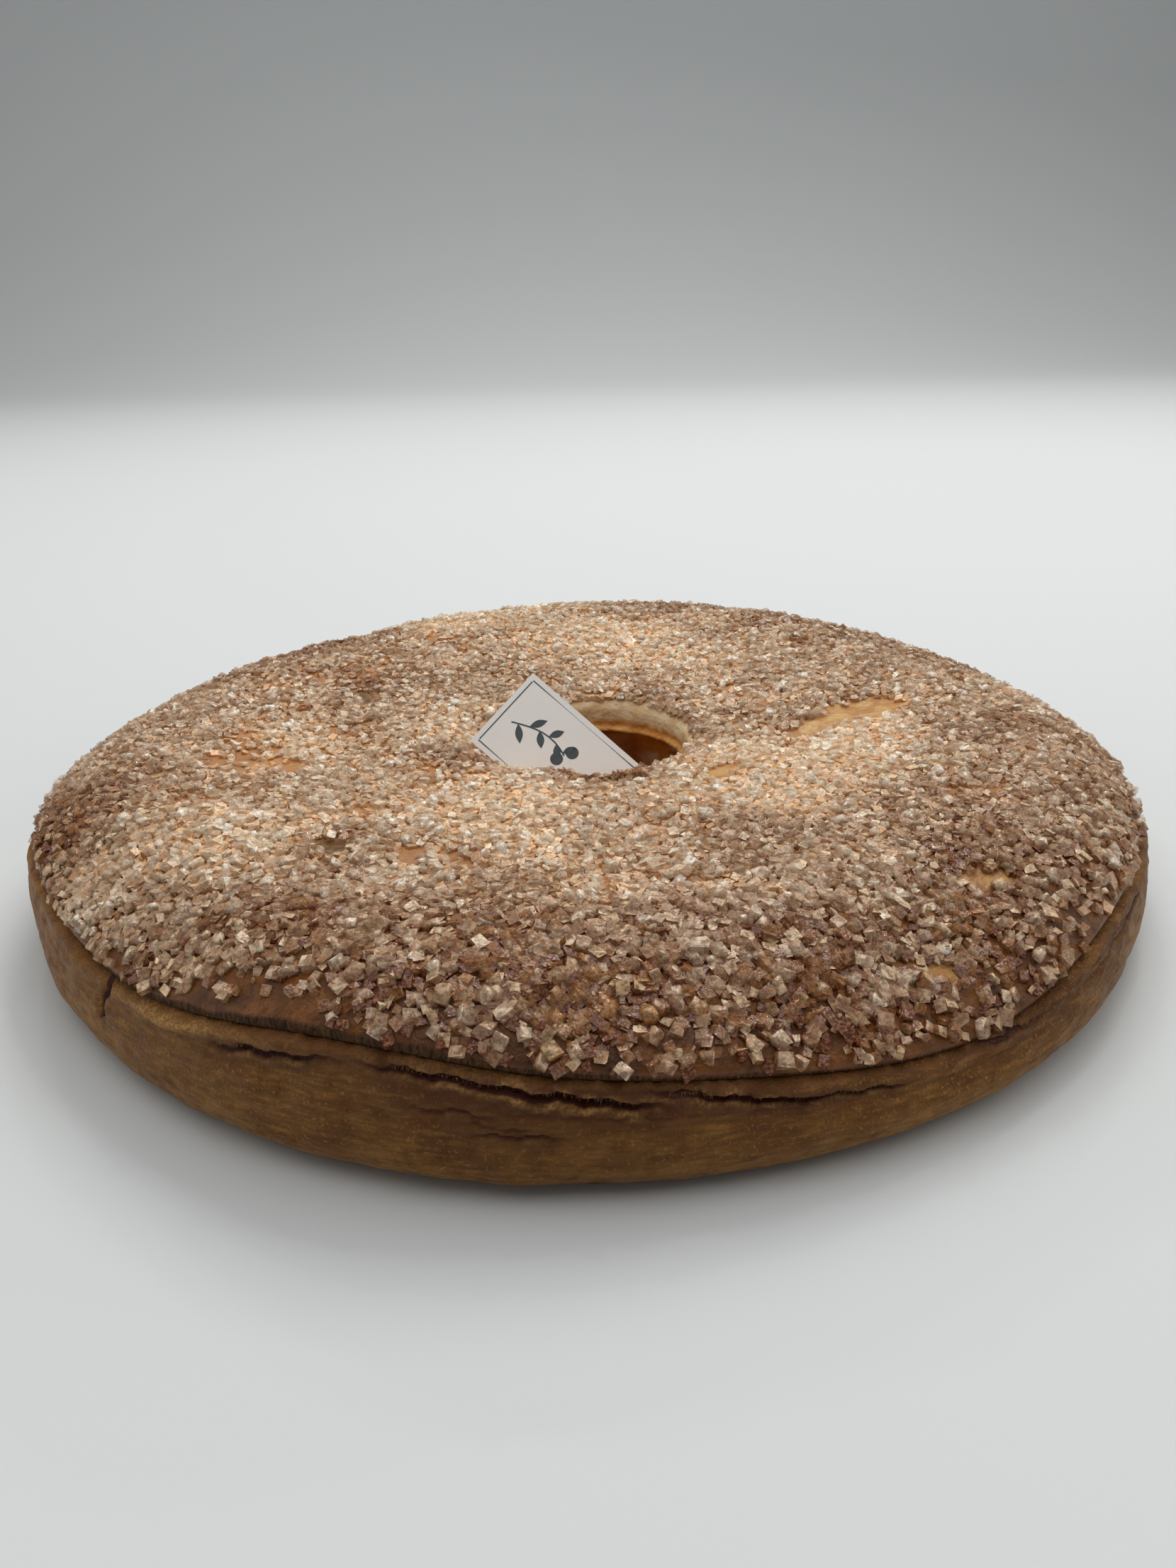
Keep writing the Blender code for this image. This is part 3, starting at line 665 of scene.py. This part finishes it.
# %% [markdown]
# ## Coarse sugar
#
# Decorating sugar is made of whole crystals of 1.5 to 3 mm: small blocks with flat faces, many with a broken corner.
# A few such blocks are made once. Each is the convex hull of a box whose corners were moved a little, with some
# corners chipped off. Thousands of copies, each turned and scaled its own way, are then joined into one mesh for each
# kind of sugar, because the model is exported as plain meshes.


# %% A few sugar blocks
SIDES = 14  # six sides of a box and eight chipped corners
CHIP_REACH = (0.12, 0.45)  # how far a chip runs along an edge, as a share of it
STRAIGHT = 0.82  # a face whose normal has a part above this belongs to one of the six sides


def sugar_block(draw, chips, jitter):
    """The hull of a jittered box of side 1, with some corners replaced by three points along their edges. Gives its
    points, its triangles and the number of the side that each triangle lies on."""
    shape = bmesh.new()
    corners = [Vector((sx, sy, sz)) * 0.5 for sx in (-1, 1) for sy in (-1, 1) for sz in (-1, 1)]
    chipped = draw.choice(8, chips, replace=False)
    for index, corner in enumerate(corners):
        moved = corner + Vector(draw.uniform(-jitter, jitter, 3))
        if index in chipped:
            for axis in range(3):
                point = moved.copy()
                point[axis] -= math.copysign(draw.uniform(*CHIP_REACH), corner[axis])
                shape.verts.new(point)
        else:
            shape.verts.new(moved)
    bmesh.ops.convex_hull(shape, input=shape.verts)
    bmesh.ops.delete(shape, geom=[v for v in shape.verts if not v.link_faces], context="VERTS")
    bmesh.ops.recalc_face_normals(shape, faces=shape.faces)
    bmesh.ops.triangulate(shape, faces=shape.faces)
    shape.verts.index_update()
    points = np.array([v.co[:] for v in shape.verts])
    triangles = np.array([[v.index for v in face.verts] for face in shape.faces])
    directions = np.array([face.normal[:] for face in shape.faces])
    main = np.abs(directions).argmax(1)
    straight = np.abs(directions).max(1) > STRAIGHT
    chip = 6 + (directions > 0) @ np.array([1, 2, 4])
    sides = np.where(straight, 2 * main + (directions[np.arange(len(main)), main] > 0), chip)
    shape.free()
    return points, triangles, sides


block_draw = np.random.default_rng(5)
PLAIN_BLOCKS = [sugar_block(block_draw, 0, 0.16) for _ in range(10)]
BROKEN_BLOCKS = [sugar_block(block_draw, chips, 0.12) for chips in (0, 1, 1, 1, 1, 2, 2, 2, 2, 3)]
WHOLE_BLOCKS = [sugar_block(block_draw, chips, 0.09) for chips in (4, 5, 5, 6, 6, 7, 7, 8, 8, 8)]
print("triangles in each block:", [len(t) for _, t, _ in PLAIN_BLOCKS + BROKEN_BLOCKS + WHOLE_BLOCKS])

# %% [markdown]
# ## Where the sugar lies
#
# The baker threw the sugar on before baking, so it covers the top like gravel, two or three grains deep, and thins
# out on the slope. The places are worked out in rings from the hole to the seam: each ring has a grain every pitch
# millimetres, at a random start, moved a little. A ring is taken on the lid's own profile, so that the steep edge
# gets as many grains as the flat top. Grains on bare spots and past the sugar's ragged edge are dropped.

# %% Rings of grains on the lid
top_path = smooth_path(LID_POINTS[TOP_FIRST - 2 : TOP_LAST + 2], [40] * (TOP_LAST + 3 - TOP_FIRST), closed=False)
path_length = np.concatenate([[0.0], np.cumsum(np.hypot(*np.diff(top_path, axis=0).T))])
SUGAR_START, SUGAR_END = 0.6, float(path_length[-1]) - 0.6
RING_STEP, ROUND_JITTER, ALONG_JITTER = 0.87, 0.30, 0.28  # in pitches
print("length of the sugared profile in mm:", round(float(path_length[-1]), 1))


def sugar_gap(angle):
    """How many millimetres before the seam the sugar ends, by angle: wide at the front left, narrow in front."""
    wide = 5.0 * bell(angle, -116, 11) + 2.5 * bell(angle, -44, 12) + 3.0 * bell(angle, 178, 20)
    return -1.6 + wide + 1.6 * bell(angle, 60, 40)


def ring_places(pitch, seed):
    """Path length and angle of every grain: rings a step apart, grains a pitch apart, each moved a little."""
    draw = np.random.default_rng(seed)
    along, angles = [], []
    for place in np.arange(SUGAR_START, SUGAR_END, pitch * RING_STEP):
        radius = np.interp(place, path_length, top_path[:, 0])
        count = max(8, int(2 * math.pi * radius / pitch))
        angles.append((np.arange(count) + draw.uniform(0, 1)) * 2 * math.pi / count - math.pi
                      + draw.normal(0, ROUND_JITTER * pitch / radius, count))
        along.append(place + draw.normal(0, ALONG_JITTER * pitch, count))
    return np.concatenate(along), np.concatenate(angles)


# %% Points on the lid, and which of them keep a grain
def on_lid(along, angle):
    """Points of the lid's surface and its normals, from path length and angle, by small steps each way."""
    along = np.clip(along, 0.0, path_length[-1])

    def at(s, a):
        return lid_surface(np.interp(s, path_length, top_path[:, 0]), np.interp(s, path_length, top_path[:, 1]), a)

    step, turn = 0.5, 0.006
    down_the_lid = at(along + step, angle) - at(along - step, angle)
    round_the_lid = at(along, angle + turn) - at(along, angle - turn)
    normal = np.cross(down_the_lid, round_the_lid)
    return at(along, angle), normal / np.linalg.norm(normal, axis=1, keepdims=True)


def sugar_keep(along, angle, points, draw, cover):
    """Which grains stay: less likely on bare spots, where sugar melted, and towards the sugar's ragged edge."""
    x, y, flat = points[:, 0], points[:, 1], 0 * angle
    from_edge = (path_length[-1] - along) - sugar_gap(angle) - 1.8 * lumps(x, y, flat, 6.0, 41)
    thin = smoothstep(0.0, 9.0 + 14.0 * bell(angle, -52, 26) + 8.0 * bell(angle, -95, 20), from_edge)
    melted = smoothstep(0.15, 0.75, lumps(x, y, flat, 11.0, 42)) * smoothstep(104.0, 88.0, np.hypot(x, y))
    chance = np.where(from_edge < 0, 0.0, 0.35 + 0.65 * thin) * cover * (1.0 - 0.70 * melted)
    chance = chance * (1.0 - smoothstep(0.12, 0.70, bareness(x, y)))
    return draw.uniform(0, 1, len(angle)) < chance


# %% [markdown]
# ## Turning and joining the grains
#
# Each grain lies roughly flat on the dough, turned at random about the upright of the surface and tipped a little.
# The turned axes are built from a tipped normal and a random direction, for all grains in one go.


# %% Join copies of the blocks
def joined_grains(name, blocks, points, normals, sizes, lift, tip, finish, tints, seed):
    """Every grain: block * size, turned by three axes, moved to its point plus lift along the normal."""
    draw = np.random.default_rng(seed)
    count = len(points)
    kind = draw.integers(0, len(blocks), count)
    up = normals + draw.normal(0, tip, (count, 3))
    up /= np.linalg.norm(up, axis=1, keepdims=True)
    side = np.cross(up, draw.normal(0, 1, (count, 3)))
    side /= np.linalg.norm(side, axis=1, keepdims=True)
    turn = np.stack([side, np.cross(up, side), up], 1)
    middle = points + normals * lift[:, None]
    shine = draw.uniform(0, 1, (count, SIDES))
    parts, start = [], 0
    for index, (block, triangles, sides) in enumerate(blocks):
        mine = np.flatnonzero(kind == index)
        scaled = block[None] * sizes[mine][:, None, :]
        corners = np.einsum("nvi,nij->nvj", scaled, turn[mine]) + middle[mine][:, None, :]
        faces = triangles[None] + (start + np.arange(len(mine)) * len(block))[:, None, None]
        tint = np.repeat(tints[mine], len(triangles))
        parts.append((corners.reshape(-1, 3), faces.reshape(-1, 3), tint, shine[mine][:, sides].ravel()))
        start += len(mine) * len(block)
    points, faces, tint, facet = [np.concatenate(part) for part in zip(*parts)]
    made = mesh_object(name, points, [faces], finish, {"tint": tint, "facet": facet}, smooth=False)
    return made


# %% [markdown]
# ## Sugar, clear and cloudy
#
# Sucrose has an index of refraction of 1.54. A whole crystal is clear, a cracked one is milky, and one that lay in
# the melting syrup took the colour of caramel. Even a clear one is milky in patches, so what lies behind it shows
# only between them: the alpha follows a noise of about a millimetre and the number facet, which is drawn at random
# for each side of each grain. The sides with the highest numbers get a painted glint, a near-white colour in patches.
# The number tint, kept for each grain, moves it from nearly white to caramel.


# %% Materials of the sugar
def sugar(name, pale, caramel, glint, body, veil, roughness):
    """Body is the alpha of the dullest and the brightest sides, veil the share of it that stays between patches."""
    made, tree, shader, place = start_material(name, IOR=1.54, Roughness=roughness)
    facet = add(tree, "ShaderNodeAttribute", output=2, attribute_name="facet")
    # the sides with the highest facet numbers get a painted glint
    flash = add(tree, "ShaderNodeMapRange", {0: facet, 1: 0.68, 2: 0.92})
    patch = add(tree, "ShaderNodeMapRange", {0: cloud(tree, place, 0.8, 2.0), 1: 0.38, 2: 0.60, 3: 0.35})
    painted_glint_share = add(tree, "ShaderNodeMath", {0: flash, 1: patch}, operation="MULTIPLY")
    colour = coats(
        tree, pale,
        ("tint", caramel),
        (facet, 0.0, 0.40, 0.07, 0.0, caramel),
        (cloud(tree, place, 0.45, 2.0), 0.44, 0.68, 0.0, 0.25, "#efbb88"),
        # painted glint: near white, warmer on caramel grains
        (painted_glint_share, coats(tree, glint, ("tint", "#dabc94"))),
    )
    solid = add(tree, "ShaderNodeMapRange", {0: facet, 1: 0.2, 2: 0.95, 3: body[0], 4: body[1]})
    milky = add(tree, "ShaderNodeMapRange", {0: cloud(tree, place, 1.1, 2.0, 0.6), 1: 0.42, 2: 0.57, 3: veil, 4: 1.2})
    alpha = add(tree, "ShaderNodeMath", {0: solid, 1: milky}, operation="MULTIPLY")
    paint(tree, shader, colour, (cloud(tree, place, 0.6, 1.0), 1.0, 0.2), Alpha=alpha)
    return made


clear_sugar = sugar("clear_sugar_crystal", "#fff0d8", "#a87038", "#fffcf2", (0.40, 0.90), 0.45, 0.05)
cloudy_sugar = sugar("cloudy_sugar_crystal", "#fee7c6", "#965a27", "#fff6e2", (0.44, 0.85), 0.55, 0.10)
caramel_sugar = sugar("caramelised_sugar", "#f2c08c", "#62290c", "#f6dab0", (0.75, 1.0), 1.0, 0.22)

# %% [markdown]
# ## Laying the sugar
#
# The first layer is sunk into the dough and caramelised. Fine grains and broken ones lie on it, and large whole
# crystals, worn a little round, lie on top. A grain takes its tint from the browning and the painted shade of the
# dough under it. On the slope in front the grains are a little larger, and the upper layers take less of the painted
# shade there than the lowest.

# %% Four layers of sugar
DEEP = 0.2  # a layer that stands out less than this share of a grain lies in the dough


def lay_sugar(name, blocks, pitch, low, high, sunk, tip, cover, finish, tint, seed):
    """Grains of low to high mm, pitch mm apart, their middle raised by sunk times their height, tipped at random."""
    draw = np.random.default_rng(seed)
    along, angle = ring_places(pitch, seed)
    points, normals = on_lid(along, angle)
    keep = sugar_keep(along, angle, points, draw, cover)
    points, normals, count = points[keep], normals[keep], int(keep.sum())
    x, y = points[:, 0], points[:, 1]
    size = draw.triangular(low, low + 0.35 * (high - low), high, count)
    size = size * (0.95 + 0.2 * smoothstep(80.0, 108.0, np.hypot(x, y)) * bell(np.arctan2(y, x), -80, 45))
    flatter = np.stack([np.ones(count), draw.uniform(0.65, 1.0, count), draw.uniform(0.38, 0.75, count)], 1)
    sizes = size[:, None] * flatter
    # the tint carries the dough's painted shade; on the front slope the lowest layer takes more of it
    browned_and_shaded = browning_and_shade(x, y, 1.25 if sunk < DEEP else 0.5)
    tints = np.clip(draw.normal(tint, 0.12, count) + 1.15 * browned_and_shaded, 0.0, 1.0)
    lift = sunk * sizes[:, 2] + draw.uniform(-0.1, 0.25, count)
    return joined_grains(name, blocks, points, normals, sizes, lift, tip, finish, tints, seed + 100)


lay_sugar("sugar_in_the_dough", PLAIN_BLOCKS, 1.75, 1.2, 2.2, 0.05, 0.22, 0.97, caramel_sugar, 0.41, 51)
lay_sugar("sugar_fine", PLAIN_BLOCKS, 1.7, 0.9, 1.7, 0.35, 0.35, 0.85, cloudy_sugar, 0.42, 54)
lay_sugar("sugar_cloudy", BROKEN_BLOCKS, 2.2, 1.3, 2.3, 0.40, 0.30, 0.8, cloudy_sugar, 0.42, 52)
worn = lay_sugar("sugar_clear", WHOLE_BLOCKS, 2.8, 1.4, 2.6, 0.50, 0.42, 0.6, clear_sugar, 0.30, 53)
worn.data.shade_smooth()

# %% [markdown]
# ## The paper tag
#
# A small card of coated board, 0.6 mm thick, leans in the hole. It is a thin closed sheet with a slight bow, as a
# card has that stands in a warm tart. Its place is worked out in its own frame: its long side runs down into the
# hole, its short side up, and its face looks to the front.

# %% The card's frame and sheet
TAG_WIDTH, TAG_LENGTH, TAG_THICKNESS, TAG_BOW = 20.8, 34.4, 0.6, 0.12
TAG_LEAN, TAG_TURN = math.radians(34.0), math.radians(43.0)
TAG_CORNER = np.array([-26.0 + TURN_CENTRE[0], -4.9 + TURN_CENTRE[1], 29.0])
ACROSS, UP = np.array([1.0, 0.0, 0.0]), np.array([0.0, math.sin(TAG_LEAN), math.cos(TAG_LEAN)])
LONG_SIDE = ACROSS * math.cos(TAG_TURN) - UP * math.sin(TAG_TURN)
SHORT_SIDE = ACROSS * math.sin(TAG_TURN) + UP * math.cos(TAG_TURN)
FACE = np.cross(LONG_SIDE, SHORT_SIDE)


def on_tag(u, v, out):
    """A point u mm along the card, v mm across and out mm off its middle; the bow is highest half way along."""
    bow = TAG_BOW * (1.0 - (2.0 * u / TAG_LENGTH - 1.0) ** 2)
    return TAG_CORNER + u[..., None] * LONG_SIDE + v[..., None] * SHORT_SIDE + (out + bow)[..., None] * FACE


def make_tag(finish):
    """Two grids, front and back, joined by a wall round the border."""
    nu, nv = 36, 22
    u, v = np.meshgrid(np.linspace(0, TAG_LENGTH, nu), np.linspace(0, TAG_WIDTH, nv), indexing="ij")
    half = TAG_THICKNESS / 2
    points = np.vstack([on_tag(u, v, 0 * u + half).reshape(-1, 3), on_tag(u, v, 0 * u - half).reshape(-1, 3)])
    i, j = np.meshgrid(np.arange(nu - 1), np.arange(nv - 1), indexing="ij")
    quad = np.stack([i * nv + j, (i + 1) * nv + j, (i + 1) * nv + j + 1, i * nv + j + 1], -1).reshape(-1, 4)
    back = quad[:, ::-1] + nu * nv
    border = np.concatenate([np.arange(nu) * nv, (nu - 1) * nv + np.arange(1, nv),
                             (np.arange(nu - 2, -1, -1)) * nv + nv - 1, np.arange(nv - 2, 0, -1)])
    following = np.roll(border, -1)
    wall = np.stack([following, border, border + nu * nv, following + nu * nv], -1)
    return mesh_object("tag_card", points, [np.vstack([quad, back, wall])], finish, smooth=False)


# %% [markdown]
# ## Coated board and dark ink
#
# Coated board is nearly white, with a soft sheen that the press's rollers gave it. The print is offset ink, a dark
# slate green that dries a little duller than the board.


# %% Materials of the card
def coated_board():
    """Two whites in patches of 2 mm, with the faintest relief."""
    made, tree, shader, place = start_material("coated_board", IOR=1.5, Roughness=0.42)
    colour = coats(tree, "#fdfdfc", (cloud(tree, place, 2.0), "#f8f8f7"))
    paint(tree, shader, colour, (cloud(tree, place, 0.5), 0.1, 0.05))
    return made


def offset_ink():
    """Two slate greens in patches under a millimetre."""
    made, tree, shader, place = start_material("offset_ink", IOR=1.5, Roughness=0.5)
    paint(tree, shader, coats(tree, "#3f4a50", (cloud(tree, place, 0.8), "#525e63")))
    return made


# %% [markdown]
# ## The print
#
# The print is a plain border and a sprig with two fruits. Each bar, leaf and fruit is an outline round a middle, laid
# on the card as a thin closed slab, so it keeps sharp edges from any distance. Ink is far thinner than a mesh can
# show, so it is made 0.03 mm thick.

# %% Strokes and leaves of ink
INK_OUT, INK_IN = 0.03, 0.02  # how far the ink stands out of the card's face and reaches into it
BORDER_INSET, BORDER_LINE, STEM_LINE = 1.3, 0.28, 0.35
STEM_START, STEM_LENGTH, STEM_LEVEL, STEM_RISE = 4.0, 14.0, 9.2, 3.0
FRUITS, FRUIT_RADIUS = ((18.9, 12.9), (17.2, 9.6)), 1.45


def ink_piece(outline):
    """A flat shape with a centre: outline points (u, v) round a middle, as a thin closed slab on the card's face."""
    flat = np.vstack([outline, outline.mean(axis=0)])
    u, v = flat[:, 0], flat[:, 1]
    half = TAG_THICKNESS / 2
    points = np.vstack([on_tag(u, v, 0 * u + half + INK_OUT), on_tag(u, v, 0 * u + half - INK_IN)])
    n = len(outline)
    j, k = np.arange(n), (np.arange(n) + 1) % n
    top = np.stack([j, k, np.full(n, n)], -1)
    bottom = np.stack([k, j, np.full(n, n)], -1) + n + 1
    sides = np.vstack([np.stack([k, j, j + n + 1], -1), np.stack([k, j + n + 1, k + n + 1], -1)])
    return points, np.vstack([top, bottom, sides])


def stroke(start, end, width):
    """A straight bar from start to end."""
    start, end = np.array(start, float), np.array(end, float)
    off = np.array([end[1] - start[1], start[0] - end[0]]) / np.hypot(*(end - start)) * width / 2
    return np.array([start - off, end - off, end + off, start + off])


def leaf(u, v, length, width, turn):
    """A pointed oval: v = width/2 * sin(pi t) for t along its length, mirrored, then turned."""
    t = np.linspace(0, 1, 9)
    upper = np.stack([t * length, width / 2 * np.sin(math.pi * t)], -1)
    lower = np.stack([t * length, -width / 2 * np.sin(math.pi * t)], -1)[-2:0:-1]
    shape = np.vstack([lower[::-1], upper[::-1]])
    c, s = math.cos(turn), math.sin(turn)
    return np.stack([u + shape[:, 0] * c - shape[:, 1] * s, v + shape[:, 0] * s + shape[:, 1] * c], -1)


def on_stem(t):
    """The stem's line, a part of a sine wave, for t from 0 to 1."""
    return STEM_START + STEM_LENGTH * t, STEM_LEVEL + STEM_RISE * np.sin(2.4 * t)


# %% The print
def make_print(finish):
    """Border bars, a stem of short strokes, leaves on both sides and two round fruits."""
    near, corner = BORDER_INSET, 0.3
    far_u, far_v = TAG_LENGTH - near, TAG_WIDTH - near
    bars = (((near, near), (far_u, near)), ((far_u, near + corner), (far_u, far_v)),
            ((far_u - corner, far_v), (near, far_v)), ((near, far_v - corner), (near, near + corner)))
    shapes = [stroke(start, end, BORDER_LINE) for start, end in bars]
    stem = np.stack(on_stem(np.linspace(0, 1, 9)), -1)
    shapes += [stroke(start, end, STEM_LINE) for start, end in zip(stem[:-1], stem[1:])]
    for index, where in enumerate(np.linspace(0.1, 0.95, 6)):
        side = 1 if index % 2 else -1
        shapes.append(leaf(*on_stem(where), 4.6 - 0.3 * index, 1.7, side * 0.9 + 0.15))
    ring = np.linspace(0, 2 * math.pi, 20, endpoint=False)
    shapes += [np.stack([u + FRUIT_RADIUS * np.cos(ring), v + FRUIT_RADIUS * np.sin(ring)], -1) for u, v in FRUITS]
    points, faces, start = [], [], 0
    for shape in shapes:
        p, f = ink_piece(shape)
        points.append(p)
        faces.append(f + start)
        start += len(p)
    return mesh_object("tag_print", np.vstack(points), [np.vstack(faces)], finish, smooth=False)


# %% Make the tag and its print
tag = make_tag(coated_board())
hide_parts("paper_tag")
tag_print = make_print(offset_ink())

# %% [markdown]
# ## Torn fibres
#
# Where dough tears, thin strands of gluten stay on both lips. They are what makes the seam and the slits look torn
# and not cut. Each strand is a thin pointed needle of three sides. They stand along the lower edge of the lid and on
# the upper lip of every slit.

# %% One strand, many times
SEAM_STRANDS, STRANDS_PER_DEGREE = 3400, 14
SEAM_EDGE = (115.6, SEAM_HEIGHT + 0.95)  # radius and height of the roots along the lid
WALL_RADIUS = 117.5
THIRDS = (0.0, 2.094, 4.189)  # of a turn, in radians
DOWN, ASIDE = np.array([0, 0, -1.0]), np.array([0.13, 0.21, 1.0])  # no strand points exactly aside


def strands(name, roots, directions, lengths, widths, finish):
    """Needles: three points round each root and one at root + direction * length."""
    side = np.cross(directions, ASIDE)
    side /= np.linalg.norm(side, axis=1, keepdims=True)
    other = np.cross(directions, side)
    other /= np.linalg.norm(other, axis=1, keepdims=True)
    ring = [roots + widths[:, None] * (side * math.cos(a) + other * math.sin(a)) for a in THIRDS]
    points = np.stack(ring + [roots + directions * lengths[:, None]], 1).reshape(-1, 3)
    start = np.arange(len(roots))[:, None, None] * 4
    faces = (np.array([[0, 1, 3], [1, 2, 3], [2, 0, 3], [0, 2, 1]])[None] + start).reshape(-1, 3)
    return mesh_object(name, points, [faces], finish, smooth=False)


# %% Strands along the seam and the slits
def hanging_strands(draw, angle, radius, height, outward, spread, lengths):
    """Roots on the warped tart at an angle, radius and height, and directions down and a little out."""
    cos, sin = np.cos(angle), np.sin(angle)
    roots = placed(radius * cos, radius * sin, height)
    out = np.stack([cos, sin, 0 * angle], 1)
    return roots, out * outward + DOWN + draw.normal(0, spread, (len(angle), 3)), draw.uniform(*lengths, len(angle))


def make_strands(finish):
    """Strands at random angles along the seam, then along the upper lip of each slit, longer where it is deeper."""
    draw = np.random.default_rng(61)
    angle = draw.uniform(-math.pi, math.pi, SEAM_STRANDS)
    radius = SEAM_EDGE[0] + draw.normal(0, 0.15, SEAM_STRANDS)
    rows = [hanging_strands(draw, angle, radius, SEAM_EDGE[1] + 0 * angle, 0.35, 0.22, (0.5, 1.3))]
    for centre, half, level, slope, depth, thick in SLITS:
        n = int(STRANDS_PER_DEGREE * half)
        off = draw.uniform(-half, half, n) * 0.9
        radius = WALL_RADIUS - 0.25 * depth + draw.normal(0, 0.12, n)
        height = level + slope * off + slit_wander(off, centre) + thick * 1.25
        angle = np.radians(centre + off)
        rows.append(hanging_strands(draw, angle, radius, height, 0.25, 0.25, (0.2, 0.3 + 0.3 * depth)))
    roots, directions, lengths = [np.concatenate(part) for part in zip(*rows)]
    directions /= np.linalg.norm(directions, axis=1, keepdims=True)
    made = strands("torn_strands", roots, directions, lengths, draw.uniform(0.04, 0.09, len(roots)), finish)
    return made


def torn_dough():
    """Two dull browns in patches of 5 mm."""
    made, tree, shader, place = start_material("torn_dough", IOR=1.45, Roughness=0.6)
    paint(tree, shader, coats(tree, "#7d6036", (cloud(tree, place, 5.0), "#4c3c22")))
    return made


make_strands(torn_dough())

# %% [markdown]
# ## Floor, light and camera
#
# The tart stands on a plain pale floor that curves up behind it. One wide soft light hangs above it and one behind,
# so the top is bright and the front wall lies in soft shade. A large soft light on each side opens that shade, and
# five small bulbs make the crystals sparkle. The camera is a phone's wide lens held close: 0.25 m in front of the
# middle of the tart and 0.12 m above it. Lengths from here on are in metres.

# %% Floor
FLOOR_FRONT, FLOOR_HALF_WIDTH, BEND_START, BEND_RADIUS, WALL_TOP = -3.0, 3.5, 1.2, 0.8, 3.0


def make_floor():
    """A sheet carried along x: flat, then a quarter circle up, then upright."""
    bend = np.linspace(0, math.pi / 2, 16)
    back = BEND_START + BEND_RADIUS * np.sin(bend)
    y = np.concatenate([[FLOOR_FRONT], back, back[-1:]])
    z = np.concatenate([[0.0], BEND_RADIUS - BEND_RADIUS * np.cos(bend), [WALL_TOP]])
    x = np.tile([-FLOOR_HALF_WIDTH, FLOOR_HALF_WIDTH], len(y))
    i = np.arange(len(y) - 1)
    faces = np.stack([2 * i, 2 * i + 1, 2 * i + 3, 2 * i + 2], -1)
    mesh = bpy.data.meshes.new("floor")
    mesh.from_pydata(np.stack([x, np.repeat(y, 2), np.repeat(z, 2)], -1).tolist(), [], faces.tolist())
    mesh.shade_smooth()
    finish, tree, shader, place = start_material("matte_paint", Roughness=0.8)
    paint(tree, shader, coats(tree, "#d7dbdc", (cloud(tree, place, 400.0), "#d4d8d9")))
    mesh.materials.append(finish)
    scene_object("floor", mesh)


make_floor()


# %% Light
ROOM_COLOUR, ROOM_STRENGTH = (0.94, 0.93, 0.92, 1.0), 0.20


def soft_light(name, place, aim, size, power, colour):
    """A rectangular area light at a place, turned to its aim."""
    lamp = bpy.data.lights.new(name, "AREA")
    lamp.shape, lamp.size, lamp.size_y = "RECTANGLE", size[0], size[1]
    lamp.energy, lamp.color = power, colour
    made = scene_object(name, lamp)
    made.location = place
    made.rotation_euler = (Vector(aim) - Vector(place)).to_track_quat("-Z", "Y").to_euler()


soft_light("ceiling_light", (0.0, -0.15, 1.4), (0.0, 0.0, 0.0), (2.0, 1.6), 11.0, (1.0, 0.99, 0.975))
soft_light("counter_light", (0.25, 0.75, 1.2), (0.0, 0.0, 0.0), (0.9, 0.6), 8.0, (1.0, 0.985, 0.96))
soft_light("left_window", (-1.3, 0.0, 0.55), (0.0, 0.0, 0.02), (0.9, 0.7), 1.8, (1.0, 0.99, 0.98))
soft_light("right_window", (1.3, 0.1, 0.6), (0.0, 0.0, 0.02), (0.9, 0.7), 3.0, (1.0, 0.99, 0.98))
for bulb in ((0.55, 1.0, 0.7), (-0.5, 0.95, 0.75), (0.05, 0.8, 1.3), (-0.25, 1.2, 0.95), (0.3, 0.5, 1.4)):
    soft_light("shop_bulb", bulb, (0.0, 0.0, 0.0), (0.05, 0.05), 0.6, (1.0, 0.98, 0.94))
world = bpy.data.worlds.new("soft_room")
bpy.context.scene.world = world
world.use_nodes = True
world.node_tree.nodes["Background"].inputs[0].default_value = ROOM_COLOUR
world.node_tree.nodes["Background"].inputs[1].default_value = ROOM_STRENGTH
bpy.context.scene.view_settings.view_transform = "Standard"

# %% Camera
FOCAL_PIXELS, PHOTO_HEIGHT, SENSOR_WIDTH = 1662.0, 2212.0, 36.0  # pixels of the photograph, and mm
CAMERA_PLACE = (0.0, -0.2495, 0.1245)
CAMERA_RIGHT, CAMERA_UP = Vector((0.99970283, -0.00749323, -0.023197)), Vector((0.0242588, 0.39948614, 0.91641821))
lens = bpy.data.cameras.new("camera")
lens.sensor_width = SENSOR_WIDTH
lens.lens = FOCAL_PIXELS / PHOTO_HEIGHT * SENSOR_WIDTH
lens.clip_start = 0.01
camera = scene_object("camera", lens)
turn = Matrix((CAMERA_RIGHT, CAMERA_UP, CAMERA_RIGHT.cross(CAMERA_UP))).transposed().to_4x4()
camera.matrix_world = Matrix.Translation(CAMERA_PLACE) @ turn
bpy.context.scene.camera = camera
